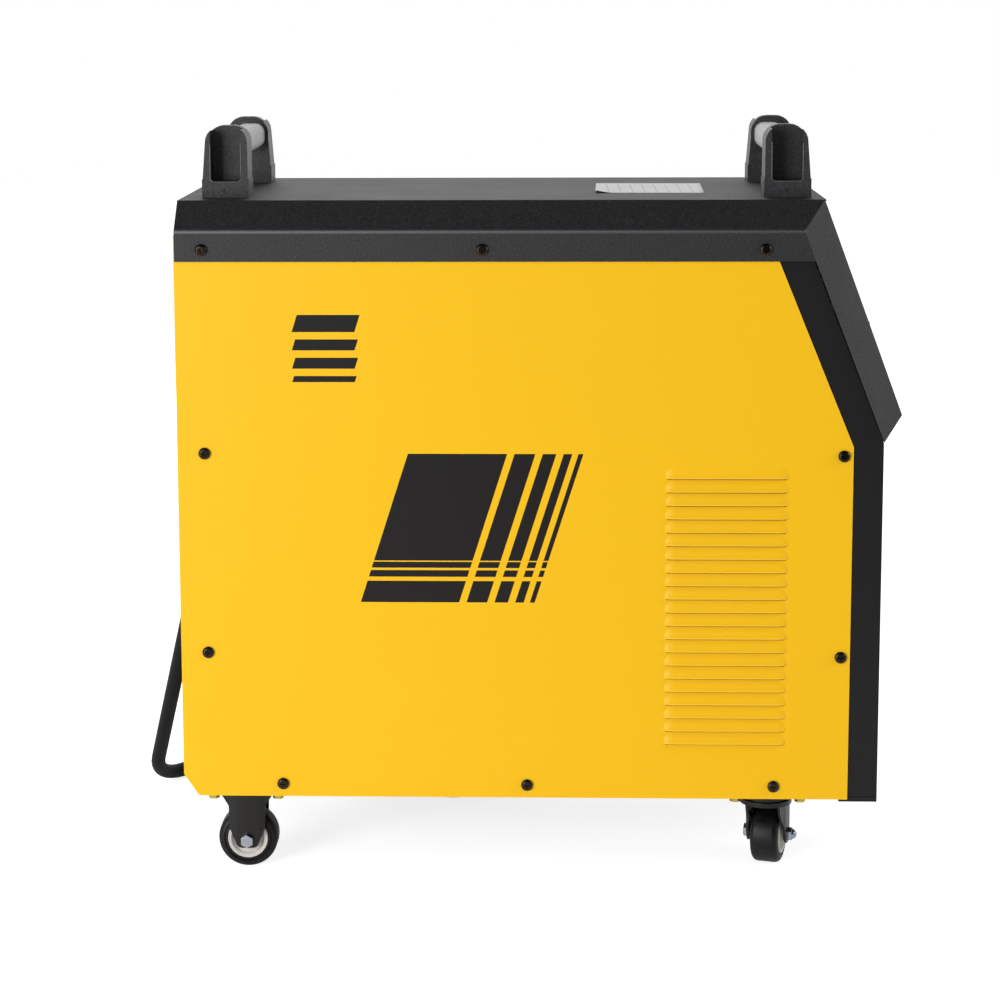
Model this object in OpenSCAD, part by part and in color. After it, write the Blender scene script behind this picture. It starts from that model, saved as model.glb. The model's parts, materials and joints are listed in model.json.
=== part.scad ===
// Plasma cutter unit: a folded steel case on four casters, with two lifting
// handles, a recessed connection panel in front and a recessed rear panel.
// +X is the front, +Z is up, and the origin is on the floor under the middle.

/* [Case] */
// Length from the rear edge to the front face
case_l = 575; // [560:1:600]
// How far the sloping front stands out past the front face
nose = 17.2; // [16:0.1:18]
// Width over the top cover
case_w = 307; // [304:1:312]
// Height of the case without casters and handles
case_h = 495; // [492:1:500]
// Thickness of the sheet metal
sheet = 1.2; // [1:0.1:1.3]
// Height of the cover's upright side flange
flange_h = 24.6; // [24:0.1:26]
// Width of the cover's side bevel
bevel_w = 24.4; // [23:0.1:26]
// Height of the cover's side bevel
bevel_h = 23.2; // [22:0.1:25]
// Depth of the rear recess
rear_recess = 51; // [48:1:54]
// Depth of the front connection recess
front_recess = 24; // [22:1:26]

/* [Louvres] */
// Number of louvres in each side panel
louvre_n = 21; // [15:1:21]
// Spacing of the louvres
louvre_pitch = 11.14; // [11:0.01:11.2]
// Length of a louvre
louvre_l = 100; // [80:1:104]
// How far a louvre stands out of the panel
louvre_out = 3.6; // [3:0.1:4]

/* [Handles] */
// Length of a handle post along the case
post_l = 38.6; // [36:0.1:40]
// Depth of a handle post across the case
post_d = 34.5; // [32:0.1:36]
// Height of a handle post
post_h = 58.5; // [57:0.5:62]
// Distance over the outer faces of a handle's two posts
handle_span = 207; // [200:1:210]
// Width of the grip
grip_w = 24; // [22:1:25]
// Height of the grip's section
grip_h = 22; // [20:1:22]

/* [Casters] */
// Height of a caster from the floor to the tray
caster_h = 70; // [70:1:70]
// Diameter of a wheel
wheel_d = 50; // [48:1:50]
// Width of a tyre
tyre_w = 24; // [22:1:24]
// Offset of the wheel behind the swivel axis
trail = 16; // [14:1:16]
// Turn of the right front caster about its swivel axis
swivel_right = 254; // [0:1:359]
// Turn of the left front caster about its swivel axis
swivel_left = 12; // [0:1:359]

/* [Mains lead] */
// Diameter of the mains cord
cord_d = 13; // [13:1:13]
// Radius of the coil at the middle of its turns
coil_r = 72; // [72:1:72]

/* [Hidden] */
$fn = 48;
eps = 0.01;
play = 0.3;                       // gap between pieces that move apart
axle_r = 3;
axle_play = 0.06;

// Planes and lines of the case
x_rear = -(case_l + nose) / 2;
x_front = x_rear + case_l;
x_nose = x_front + nose;
z_base = caster_h;
z_top = z_base + case_h;
z_bend = z_top - bevel_h;         // fold between the bevel and the flange
z_flange = z_bend - flange_h;     // lower edge of the cover's flange
z_nose = z_top - 176.3;
z_chin = z_top - 195;
x_cover = x_rear + 0.8;           // rear edge of the cover
lip = 1.2;                        // how far the top sheet stands out over the slope
front_lip = 2.1;                  // how far the front sheet hangs below the tray
x_slope = x_front - 48.6;         // front edge of the flat top
x_bend = x_front - 67;            // top of the slope's side fold
slope_tilt = atan((x_nose - x_slope) / (z_top - z_nose));
y_cover = case_w / 2;             // outer faces of the three layers of sheet
y_panel = y_cover - sheet;
y_frame = y_panel - sheet;
knee_z = z_base + 296;            // where the side panel starts to lean back
knee_x = x_front - 24.4;
edge_lean = 0.411;
function bend_x(z) = x_front - (z - z_chin) * (x_front - x_bend) / (z_bend - z_chin);
function edge_x(z) = knee_x - max(0, z - knee_z) * edge_lean;

// Rear recess and front connection recess
x_recess = x_rear + rear_recess;
x_connect = x_front - sheet - front_recess;
recess_y = 118;
recess_z0 = z_base + 30;
recess_z1 = z_base + 270;

// Control opening in the slope, down from the slope's top edge
control_y = 125;
control_w0 = 16;
control_w1 = 172;
control_in = 8;                   // depth of the control panel behind the slope
knob_stem_r = 3;

// Screws that hold the side panels, along X and Z
cover_screws = [for (x = [-273.5, -46.5, 181]) [x, z_flange + 9.8]];
panel_screws_xz = [[-273.7, 360], [-273.7, 193], [-213.2, 81], [-10.3, 81], [193.3, 81],
    [246.8, 358.6], [246.8, 191]];
screw_r = 2.5;
screw_hole_r = 2.8;
screw_head_r = 4.8;
screw_head_h = 3.2;

// Handles
rear_handle_x = -259;
front_handle_x = 202.5;
post_y = handle_span / 2;
post_in = post_y - post_d;
collar = 2;
post_foot = 15;                   // height of a post's foot
post_pocket = 20;                 // depth of the pocket in a post
grip_z = z_top + 42;

// Casters
rear_x = -246.5;
front_x = 190.2;
caster_y = 117;
plate_l = 72;
plate_w = 54;
plate_t = 2.5;
bolt_x = 54;
bolt_y = 36;
axle_z = wheel_d / 2;
cheek_in = 15;
cheek_t = 2;
raceway_z = z_base - plate_t - 5.7;
crown_z = raceway_z - play;
crown_t = 4;
channel_in = 2.2;                 // how far a cheek's edges lean in towards the wheel

// Rear panel fittings, as [y, z]
fan_yz = [0, 440];
fan_r = 57;
fan_size = 119;
fan_pitch = 105;
breaker_yz = [88, 300];
inlet_yz = [96, 160];
earth_yz = [10, 130];
entry_yz = [-98, 318];
gland_tilt = 20.5;
gland_x = -267;
gland_z = 304;
gland_l = 22;
relief_l = 24;

// Front fittings, as [y, z]
torch_yz = [-62, 158];
work_yz = [66, 158];
aux_yz = [4, 152];
gauge_yz = [62, 282];
regulator_yz = [-58, 282];

// Controls on the slope, as [y, distance down the slope]
knob_yw = [0, 116];
mode_yw = [-82, 116];
test_yw = [82, 116];
button_yw = [82, 62];
display_yw = [0, 50];
lamp_yw = [for (i = [0 : 2]) [-100 + 18 * i, 58]];

// Mains lead: its corners, from the strain relief down to the floor and round to the coil
coil_x = -80;
coil_y = 149;
coil_columns = 3;
coil_layers = 2;
lead_y = coil_y + coil_r + cord_d;
lead_z = cord_d / 2;
lead_exit = [-283, -98, 261];
lead_corners = [[-290, -98, 244], [-361, 94, lead_z], [-250, lead_y, lead_z]];
lead_bends = [52, 53, 100];       // bend radius at each corner
lead_end = [-104, lead_y, lead_z];
tail_route = [[-46, lead_y, 23], [-36, lead_y, 24.5], [-25, lead_y, 26.5], [-14, lead_y, 27.5],
    [-5, lead_y, 27.5]];
plug_x = -5;
plug_r = 27.5;

// Shapes used by several sub-parts

// A plate standing in the XZ plane, drawn as [x, z], from y0 to y0 + t
module xz_plate(y0, t) translate([0, y0 + t, 0]) rotate([90, 0, 0]) linear_extrude(t) children();

// A plate standing in the YZ plane, drawn as [y, z], from x0 to x0 + t
module yz_plate(x0, t) translate([x0, 0, 0]) rotate([90, 0, 90]) linear_extrude(t) children();

// The same piece on the right side and, mirrored, on the left
module both_sides() {
    children();
    mirror([0, 1, 0]) children();
}

// The slope's own frame: X out of the slope, Z up along it, 0 at its top edge
module on_slope(n = 0, y = 0, w = 0)
    translate([x_slope, 0, z_top]) rotate([0, -slope_tilt, 0]) translate([n, y, -w]) children();

// A round bar along X from x0 to x1
module bar_x(x0, x1, y, z, r) translate([x0, y, z]) rotate([0, 90, 0]) cylinder(h = x1 - x0, r = r);

// A rectangle with round corners, centred
function round_box(w, h, r, n = 6) = [for (q = [0 : 3], i = [0 : n])
    let (a = q * 90 + i * 90 / n, sx = (q == 0 || q == 3) ? 1 : -1, sy = q < 2 ? 1 : -1)
    [sx * (w / 2 - r) + r * cos(a), sy * (h / 2 - r) + r * sin(a)]];

// A pan head screw along +Z, with its head's underside at 0
module pan_screw(r, head_r, head_h, length) difference() {
    union() {
        cylinder(h = head_h * 0.55, r = head_r);
        translate([0, 0, head_h * 0.55]) cylinder(h = head_h * 0.45, r1 = head_r, r2 = head_r * 0.6);
        translate([0, 0, -length]) cylinder(h = length, r = r);
    }
    for (turn = [0, 90])
        rotate([0, 0, turn]) translate([-head_r * 0.5, -0.5, head_h * 0.4]) cube([head_r, 1, head_h]);
}

// The fan's four screws, each pointing out of the back
module at_fan_screws() for (y = [-1, 1], z = [-1, 1])
    translate([x_recess - 4, fan_yz[0] + y * fan_pitch / 2, fan_yz[1] + z * fan_pitch / 2])
        rotate([0, -90, 0]) children();

// Clearance holes for the screws of one side, through all layers of sheet
module side_holes(points) for (p = points)
    translate([p[0], -y_cover - 1, p[1]]) rotate([-90, 0, 0]) cylinder(h = 7, r = screw_hole_r);

// Case

module base_tray() color("dimgray") difference() {
    union() {
        translate([x_rear + 12.5, -y_frame, z_base])
            cube([x_front - sheet - eps - x_rear - 12.5, 2 * y_frame, 1.5]);
        for (side = [-y_frame, y_frame - 1.5])
            translate([x_rear + 12.5, side, z_base]) cube([232 - x_rear - 12.5, 1.5, 25]);
    }
    both_sides() side_holes(panel_screws_xz);
    for (x = [rear_x, front_x], sx = [-1, 1], sy = [-1, 1], side = [-1, 1])
        translate([x + sx * bolt_x / 2, side * caster_y + sy * bolt_y / 2, z_base - 1])
            cylinder(h = 4, r = 2.75);
    for (x = [-140 : 20 : 120])
        translate([x, -60, z_base - 1]) cube([8, 120, 4]);
}

module rear_panel() color("#2b2b2e") difference() {
    union() {
        yz_plate(x_recess, sheet) polygon([[-y_frame, z_base + 25.3], [-y_frame + 1.8, z_base + 25.3],
            [-y_frame + 1.8, z_base + 1.5], [y_frame - 1.8, z_base + 1.5], [y_frame - 1.8, z_base + 25.3],
            [y_frame, z_base + 25.3], [y_frame, z_bend - 1.5], [y_cover - bevel_w - 0.5, z_top - sheet - 0.6],
            [-y_cover + bevel_w + 0.5, z_top - sheet - 0.6], [-y_frame, z_bend - 1.5]]);
        for (side = [-y_frame, y_frame - sheet])
            translate([x_rear + 0.5, side, z_base + 26])
                cube([rear_recess - 0.5 + eps, sheet, z_bend - z_base - 28]);
    }
    both_sides() side_holes(concat(panel_screws_xz, cover_screws));
    bar_x(x_recess - 1, x_recess + 3, fan_yz[0], fan_yz[1], fan_r);
    translate([x_recess - 1, breaker_yz[0] - 27, breaker_yz[1] - 23]) cube([4, 54, 46]);
    bar_x(x_recess - 1, x_recess + 3, inlet_yz[0], inlet_yz[1], 7.2);
    bar_x(x_recess - 1, x_recess + 3, earth_yz[0], earth_yz[1], 4.1);
    bar_x(x_recess - 1, x_recess + 3, entry_yz[0], entry_yz[1] + 6, 12);
    for (y = [-50 : 12 : 34], z = [190 : 50 : 290])
        translate([x_recess - 1, y, z]) cube([4, 5, 38]);
    at_fan_screws() cylinder(h = 20, r = 2.2, center = true);
}

// One louvre of the right panel, its lower edge at [x, z] of its left end
module louvre_bump(grow, length) {
    out = louvre_out - grow;
    xz = [[0, 9.6 - grow * 1.6], [-out * 0.45, 8.3 - grow * 1.4], [-out * 0.85, 5 - grow],
        [-out, 1.6], [-out, 0], [0, 0]];
    rotate([90, 0, 90]) linear_extrude(length) polygon(xz);
}

module side_panel() difference() {
    union() {
        xz_plate(-y_panel, sheet) polygon([[x_rear + 12.4, z_base], [knee_x, z_base],
            [knee_x, knee_z], [edge_x(z_bend - 3), z_bend - 3], [x_rear, z_bend - 3],
            [x_rear, z_base + 18.5]]);
        for (i = [0 : louvre_n - 1])
            translate([102.4, -y_panel + eps, 117.3 + i * louvre_pitch]) difference() {
                louvre_bump(0, louvre_l);
                for (end = [0, louvre_l])
                    translate([end, -louvre_out, 4]) rotate([0, 0, end > 0 ? 52 : 38])
                        translate([-6, end > 0 ? -6 : -6, -6]) cube([12, 6.2, 14]);
            }
    }
    for (i = [0 : louvre_n - 1])
        translate([104.6, -y_panel, 117.3 + i * louvre_pitch]) {
            translate([0, 0.02, -eps]) louvre_bump(0.9, louvre_l - 4.4);
            translate([0, -eps, 0.6]) cube([louvre_l - 4.4, sheet + 1, 7]);
        }
    side_holes(concat(panel_screws_xz, cover_screws));
}

module side_panel_right() color("gold") side_panel();

module side_panel_left() color("gold") mirror([0, 1, 0]) side_panel();

// The cover's outer form, drawn in by a sheet's thickness for its inside
module cover_form(in) {
    back = in > 0 ? 5 : 0;
    hull() {
        xz_plate(-y_cover + in, 2 * (y_cover - in)) polygon([[x_cover - back, z_flange - back],
            [x_cover - back, z_bend - in * 0.6], [x_bend - in * 0.6, z_bend - in * 0.6],
            [x_front - in * 1.1, z_chin - back / 5]]);
        xz_plate(-y_cover + bevel_w + in * 0.4, 2 * (y_cover - bevel_w - in * 0.4))
            polygon([[x_cover - back, z_top - in], [x_slope - in * 0.75, z_top - in],
                [x_nose - in * 1.4, z_nose + in * 0.2], [x_front - in * 1.4, z_chin - back / 5]]);
    }
}

module top_cover() color("#303033") difference() {
    union() {
        difference() {
            cover_form(0);
            cover_form(sheet);
        }
        translate([x_slope - 4, -y_cover + bevel_w, z_top - sheet])
            cube([4 + lip, 2 * (y_cover - bevel_w), sheet]);
        on_slope(0, 0, control_w1) difference() {
            translate([-control_in, -control_y - sheet, -sheet])
                cube([control_in - 0.2, 2 * (control_y + sheet), control_w1 - control_w0 + 2 * sheet]);
            translate([-control_in - 1, -control_y, 0])
                cube([control_in + 2, 2 * control_y, control_w1 - control_w0]);
        }
    }
    xz_plate(-y_cover - 1, 2 * y_cover + 2) polygon([[x_rear - 9, z_flange],
        [bend_x(z_flange), z_flange], [x_front, z_chin], [x_front + 3, z_chin - 9],
        [x_rear - 9, z_chin - 60]]);
    on_slope(0, 0, control_w1) translate([-3, -control_y, 0])
        cube([6, 2 * control_y, control_w1 - control_w0]);
    both_sides() side_holes(cover_screws);
    for (x = [rear_handle_x, front_handle_x], side = [-1, 1])
        translate([x, side * (post_y - 12), z_top - 3]) cylinder(h = 6, r = 2.75);
}

module front_panel() color("#2b2b2e") difference() {
    union() {
        translate([x_front - sheet, -y_frame, z_base - front_lip])
            cube([sheet, 2 * y_frame, z_chin - 0.6 - z_base + front_lip]);
        translate([knee_x - 7, -y_frame, z_base - front_lip])
            cube([x_front - knee_x + 7, 2 * y_frame, front_lip]);
        both_sides() xz_plate(-y_frame, sheet) polygon([[knee_x - 19, z_base + 2],
            [x_front - eps, z_base + 2], [x_front - eps, z_chin - 0.8],
            [bend_x(z_flange) - 1, z_flange - 0.5], [edge_x(z_flange) - 19, z_flange - 0.5],
            [knee_x - 19, knee_z - 4]]);
    }
    translate([x_front - 3, -recess_y, recess_z0]) cube([6, 2 * recess_y, recess_z1 - recess_z0]);
    both_sides() side_holes(panel_screws_xz);
}

module connector_panel() color("#232326") difference() {
    union() {
        translate([x_connect, -recess_y - sheet, recess_z0 - sheet])
            cube([front_recess - eps, 2 * (recess_y + sheet), recess_z1 - recess_z0 + 2 * sheet]);
        translate([x_front - 2 * sheet, -recess_y - 9, recess_z0 - 9])
            cube([sheet - eps, 2 * (recess_y + 9), recess_z1 - recess_z0 + 18]);
    }
    translate([x_connect + 1.5, -recess_y, recess_z0])
        cube([front_recess + 5, 2 * recess_y, recess_z1 - recess_z0]);
    bar_x(x_connect - 1, x_connect + 4, torch_yz[0], torch_yz[1], 15.2);
    bar_x(x_connect - 1, x_connect + 4, work_yz[0], work_yz[1], 17.2);
    bar_x(x_connect - 1, x_connect + 4, aux_yz[0], aux_yz[1], 8.2);
    bar_x(x_connect - 1, x_connect + 4, gauge_yz[0], gauge_yz[1], 20.2);
    bar_x(x_connect - 1, x_connect + 4, regulator_yz[0], regulator_yz[1], 12.2);
    for (y = [-96 : 12 : 90])
        translate([x_connect - 1, y, 204]) cube([4, 6, 34]);
}

module control_panel() color("#1d1d20") difference() {
    on_slope(-control_in - 1.5, 0, control_w1 + 4)
        translate([0, -control_y - 5, 0]) cube([1.5, 2 * control_y + 10, control_w1 - control_w0 + 8]);
    on_slope(-20, knob_yw[0], knob_yw[1]) rotate([0, 90, 0]) cylinder(h = 30, r = 5.2);
    for (at = [mode_yw, test_yw])
        on_slope(-20, at[0], at[1]) rotate([0, 90, 0]) cylinder(h = 30, r = 6.2);
    on_slope(-20, button_yw[0], button_yw[1]) rotate([0, 90, 0]) cylinder(h = 30, r = 8.2);
    on_slope(-20, display_yw[0] - 36, display_yw[1] + 15) cube([30, 72, 30]);
    for (at = lamp_yw)
        on_slope(-20, at[0], at[1]) rotate([0, 90, 0]) cylinder(h = 30, r = 2.6);
}

module display_window() color("#451518") on_slope(-control_in, display_yw[0], display_yw[1]) {
    translate([eps, -40, -19]) cube([1.2, 80, 38]);
    translate([-3, -35.8, -14.8]) cube([3 + 2 * eps, 71.6, 29.6]);
}

module panel_screws() color("#1a1a1c") both_sides() {
    for (p = panel_screws_xz)
        translate([p[0], -y_panel, p[1]]) rotate([90, 0, 0])
            pan_screw(screw_r, screw_head_r, screw_head_h, 4);
    for (p = cover_screws)
        translate([p[0], -y_cover, p[1]]) rotate([90, 0, 0])
            pan_screw(screw_r, screw_head_r, screw_head_h, 5);
}

module fan_screws() color("#1a1a1c") at_fan_screws() pan_screw(1.9, 3.8, 2.6, 11);

module handle_screws() color("#1a1a1c")
    for (x = [rear_handle_x, front_handle_x], side = [-1, 1])
        translate([x, side * (post_y - 12), z_top]) {
            translate([0, 0, 10.4]) pan_screw(screw_r, screw_head_r, screw_head_h, 20);
            translate([0, 0, -sheet - 4]) cylinder(h = 4, r = 4.6, $fn = 6);
        }

// Inside the case

shelf_z = z_base + 240;
shelf_t = 1.5;
sink_h = 62;
board_z = shelf_z + shelf_t + sink_h + 6;

module inner_shelf() color("silver") {
    translate([-180, -y_frame + 0.5, shelf_z]) cube([400, 2 * y_frame - 1, shelf_t]);
    for (side = [-y_frame + 0.5, y_frame - 2])
        translate([-180, side, z_base + 25.2]) cube([30, 1.5, shelf_z - z_base - 25.2 + eps]);
    for (side = [-y_frame + 3, y_frame - 4.5])
        translate([180, side, z_base + 1.5]) cube([30, 1.5, shelf_z - z_base - 1.5 + eps]);
}

core = [-110, 0, 150];            // middle of the transformer

module transformer_core() color("dimgray") translate([core[0], core[1], z_base + 1.5]) difference() {
    translate([-60, -38, 0]) cube([120, 76, 100]);
    for (x = [-40, 10]) translate([x, -39, 20]) cube([30, 78, 60]);
}

module transformer_winding() color("peru") translate([core[0], core[1], z_base + 1.5 + 21]) difference() {
    translate([-39, -60, 0]) cube([78, 120, 58]);
    translate([-10.2, -38.2, -1]) cube([20.4, 76.4, 60]);
}

module heat_sinks() color("silver") for (y = [-118, 18]) difference() {
    translate([-130, y, shelf_z + shelf_t]) cube([230, 100, sink_h]);
    for (i = [0 : 8]) translate([-131, y + 5 + i * 10.4, shelf_z + shelf_t + 8]) cube([232, 6.4, sink_h]);
}

module inverter_board() color("darkgreen") {
    translate([-140, -125, board_z]) cube([250, 250, 1.6]);
    for (x = [-125, 95], y = [-112.7, 114]) translate([x, y, shelf_z + shelf_t + sink_h])
        cylinder(h = 6 + eps, r = 1.6);
}

module capacitor_bank() color("midnightblue") for (x = [-90, -40, 10], y = [-60, 0, 60])
    translate([x, y, board_z + 1.6]) difference() {
        cylinder(h = 50, r = 17.5);
        for (turn = [0, 90]) rotate([0, 0, turn]) translate([-10, -0.4, 49.5]) cube([20, 0.8, 2]);
    }

board_n = -control_in - 26;       // back of the control board behind the slope

// A bush standing on the control board, up to n, with a bore of the given depth
module board_bush(at, r, bore_r, n, depth) on_slope(board_n + 1.5, at[0], at[1]) rotate([0, 90, 0])
    difference() {
        cylinder(h = n - board_n - 1.5, r = r);
        translate([0, 0, n - board_n - 1.5 - depth]) cylinder(h = depth + 1, r = bore_r);
    }

module control_board() color("darkgreen") {
    on_slope(board_n, 0, control_w1 - 6) {
        translate([0, -110, 0]) cube([1.6, 220, 130]);
        for (y = [-104, 104], w = [6, 124]) translate([1.6 - eps, y, w]) rotate([0, 90, 0])
            cylinder(h = 22.9 + eps, r = 2.5);
    }
    board_bush(knob_yw, 5, knob_stem_r + 0.05, -control_in, 15);
    board_bush(mode_yw, 6, 5, -3, 12);
    board_bush(test_yw, 6, 5, -3, 12);
    board_bush(button_yw, 7, 4.05, -18, 13);
}

module gas_valve() color("goldenrod") translate([205, -40, inlet_yz[1] - 12]) {
    cube([30, 30, 24]);
    translate([15, 15, 24 - eps]) cylinder(h = 36, r = 13);
    translate([8, 4, z_base + 1.5 - inlet_yz[1] + 12])
        cube([14, 22, inlet_yz[1] - 13.5 - z_base + eps]);
}

module air_regulator() color("lightgray") {
    bar_x(x_connect - 46, x_connect - 0.2, regulator_yz[0], regulator_yz[1], 19);
    bar_x(x_connect - 0.2 - eps, x_connect + 5.5, regulator_yz[0], regulator_yz[1], 11.8);
    translate([x_connect - 34, regulator_yz[0] - 10, regulator_yz[1] - 60]) cube([20, 20, 44]);
}

hose_r = 5;
hose_y = 96;
hose_x = 216;

module air_hose() color("#2a52be") {
    bar_x(x_recess + 22, hose_x, hose_y, inlet_yz[1], hose_r);
    translate([hose_x, hose_y, inlet_yz[1]]) sphere(hose_r + 1.5);
    translate([hose_x, -10, inlet_yz[1] + eps]) rotate([-90, 0, 0]) cylinder(h = hose_y + 10, r = hose_r);
}

// Fan

module fan_frame() color("#222224") difference() {
    union() {
        difference() {
            translate([x_recess + sheet, fan_yz[0] - fan_size / 2, fan_yz[1] - fan_size / 2])
                cube([38, fan_size, fan_size]);
            bar_x(x_recess, x_recess + 45, fan_yz[0], fan_yz[1], fan_r);
        }
        for (turn = [45 : 90 : 315])
            translate([x_recess + sheet + 34, fan_yz[0], fan_yz[1]]) rotate([turn, 0, 0])
                translate([0, -2, 15]) cube([3, 4, fan_r - 8]);
        bar_x(x_recess + sheet + 34, x_recess + sheet + 37.6, fan_yz[0], fan_yz[1], 22);
    }
    bar_x(x_recess, x_recess + 45, fan_yz[0], fan_yz[1], 2.05);
    at_fan_screws() cylinder(h = 26, r = 2.2, center = true);
}

module fan_rotor() color("#151517") {
    bar_x(x_recess + sheet + 4, x_recess + sheet + 33.5, fan_yz[0], fan_yz[1], 21);
    bar_x(x_recess + sheet + 33, x_recess + sheet + 37.5, fan_yz[0], fan_yz[1], 2);
    for (i = [0 : 6])
        translate([x_recess + sheet + 19, fan_yz[0], fan_yz[1]]) rotate([i * 360 / 7, 0, 0])
            translate([0, 0, 19]) rotate([0, 0, 42]) translate([-1, -15, 0]) cube([2, 30, 34]);
}

grille_x = x_recess - 3;

module fan_grille() color("silver") {
    bar_x(grille_x - 0.6, grille_x + 0.6, fan_yz[0], fan_yz[1], 14);
    for (r = [14 : 10 : 54])
        translate([grille_x, fan_yz[0], fan_yz[1]]) rotate([0, 90, 0])
            rotate_extrude() translate([r, 0]) circle(r = 1.1, $fn = 16);
    for (turn = [45 : 90 : 315])
        translate([grille_x + 0.6, fan_yz[0], fan_yz[1]]) rotate([turn, 0, 0])
            translate([0, 0, 13]) cylinder(h = 58, r = 1.2, $fn = 16);
    for (turn = [45 : 90 : 315])
        translate([grille_x - 1, fan_yz[0], fan_yz[1]]) rotate([turn, 0, 0])
            translate([0, 0, 74.2]) rotate([0, 90, 0]) difference() {
                cylinder(h = 4, r = 4.5);
                translate([0, 0, -1]) cylinder(h = 6, r = 2);
            }
}

// Mains side

lever_x = x_recess - 9;
lever_range = 26;

module breaker() color("#d9d9d6") translate([0, breaker_yz[0], breaker_yz[1]]) difference() {
    union() {
        translate([x_recess - 8, -26.7, -22.7]) cube([8.2 + sheet, 53.4, 45.4]);
        translate([x_recess + sheet + 0.1, -26.7, -40]) cube([58, 53.4, 80]);
    }
    translate([x_recess - 14, -22, -9]) cube([16, 44, 20]);
    translate([lever_x + 6, 24.5, 1]) rotate([90, 0, 0]) cylinder(h = 49, r = 2.06);
}

module breaker_lever() color("#202022") translate([lever_x + 6, breaker_yz[0], breaker_yz[1] + 1]) {
    rotate([90, 0, 0]) translate([0, 0, -21]) cylinder(h = 42, r = 4.5);
    rotate([90, 0, 0]) translate([0, 0, -24]) cylinder(h = 48, r = 2);
    rotate([0, -lever_range / 2, 0]) translate([-15, -18, -2.2]) cube([15, 36, 4.4]);
}

module cable_entry() color("#1e1e20") difference() {
    translate([0, entry_yz[0], 0]) xz_plate(-24, 48)
        polygon([[x_recess, 352], [x_recess - 24, 344], [x_recess - 38, 326],
            [x_recess - 38, 314], [gland_x - 13 * cos(gland_tilt), gland_z + 13 * sin(gland_tilt)],
            [gland_x + 15 * cos(gland_tilt), gland_z - 15 * sin(gland_tilt)], [x_recess, 298]]);
    translate([0, entry_yz[0], 0]) xz_plate(-21, 42)
        polygon([[x_recess + 1, 348], [x_recess - 22, 341], [x_recess - 35, 325], [x_recess - 33, 316],
            [x_recess + 1, 304]]);
    on_gland(3) cylinder(h = 14, r = cord_d / 2 + 1);
}

// Frame of the gland: Z runs back up the cord, 0 at the entry's lower face
module on_gland(d) translate([gland_x, entry_yz[0], gland_z]) rotate([0, gland_tilt, 0])
    translate([0, 0, -d]) children();

module cord_gland() color("#161618") difference() {
    union() {
        on_gland(8) cylinder(h = 8, r = 13.2, $fn = 6);
        on_gland(18) cylinder(h = 10 + eps, r = 11.5);
        on_gland(gland_l) cylinder(h = 4 + eps, r1 = 8.6, r2 = 11);
    }
    on_gland(gland_l + 1) cylinder(h = gland_l + 3, r = cord_d / 2 + 0.1);
}

module strain_relief() color("#19191b") difference() {
    on_gland(gland_l + relief_l) cylinder(h = relief_l, r1 = cord_d / 2 + 1, r2 = 8.4);
    on_gland(gland_l + relief_l + 1) cylinder(h = relief_l + 2, r = cord_d / 2 + 0.05);
}

function unit(v) = v / norm(v);

// Points of the bend of radius r that rounds the corner b between a and c
function bend(a, b, c, r, n) = let (u = unit(a - b), v = unit(c - b), half = acos(u * v) / 2,
    o = b + unit(u + v) * r / sin(half), out = unit(b + u * r / tan(half) - o))
    [for (i = [0 : n]) let (t = (180 - 2 * half) * i / n) o + r * (cos(t) * out - sin(t) * u)];

// Points between p and q, which divide the way into n equal steps
function straight(p, q, n) = [for (i = [1 : n - 1]) p + (q - p) * i / n];

lead_bend_1 = bend(lead_exit, lead_corners[0], lead_corners[1], lead_bends[0], 4);
lead_bend_2 = bend(lead_corners[0], lead_corners[1], lead_corners[2], lead_bends[1], 8);
lead_bend_3 = bend(lead_corners[1], lead_corners[2], lead_end, lead_bends[2], 5);
cord_route = concat([lead_exit], lead_bend_1, straight(lead_bend_1[4], lead_bend_2[0], 6),
    lead_bend_2, straight(lead_bend_2[8], lead_bend_3[0], 4), lead_bend_3,
    straight(lead_bend_3[5], lead_end, 2), [lead_end]);

// Rings of a tube of radius r along the points of a route
function along(route, i) = unit(route[min(i + 1, len(route) - 1)] - route[max(i - 1, 0)]);
tube_ref = unit([-0.45, 0.87, 0.2]);
tube_sides = 10;
function ring(route, i, r) = let (t = along(route, i), u = unit(cross(tube_ref, t)), v = cross(t, u))
    [for (k = [0 : tube_sides - 1]) let (a = 360 * k / tube_sides + 90)
        route[i] + r * (u * cos(a) + v * sin(a))];

module tube(route, r) {
    n = len(route);
    s = tube_sides;
    polyhedron(points = [for (i = [0 : n - 1]) each ring(route, i, r)],
        faces = concat([[for (k = [0 : s - 1]) k]], [[for (k = [s - 1 : -1 : 0]) (n - 1) * s + k]],
            [for (i = [0 : n - 2], k = [0 : s - 1])
                [i * s + k, (i + 1) * s + k, (i + 1) * s + (k + 1) % s, i * s + (k + 1) % s]]));
}

module mains_cord() color("#1b1b1d") {
    tube(cord_route, cord_d / 2 - 0.02);
    tube(tail_route, cord_d / 2 - 0.02);
}

module cord_coil() color("#1b1b1d") translate([coil_x, coil_y, 0]) rotate_extrude()
    translate([coil_r - coil_columns * cord_d / 2, 0]) square([coil_columns, coil_layers] * cord_d);

module mains_plug() color("crimson") translate([plug_x, lead_y, plug_r]) rotate([0, 90, 0]) {
    rotate_extrude() polygon([[0, 0], [9, 0], [12, 6], [12, 20], [20, 26], [24, 34], [24, 78],
        [plug_r, 82], [plug_r, 118], [plug_r - 2.5, 118], [plug_r - 2.5, 88], [0, 88]]);
    for (a = [0 : 72 : 288]) rotate([0, 0, a + 18]) translate([16, 0, 88 - eps])
        cylinder(h = 26, r = 2.6);
}

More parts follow.
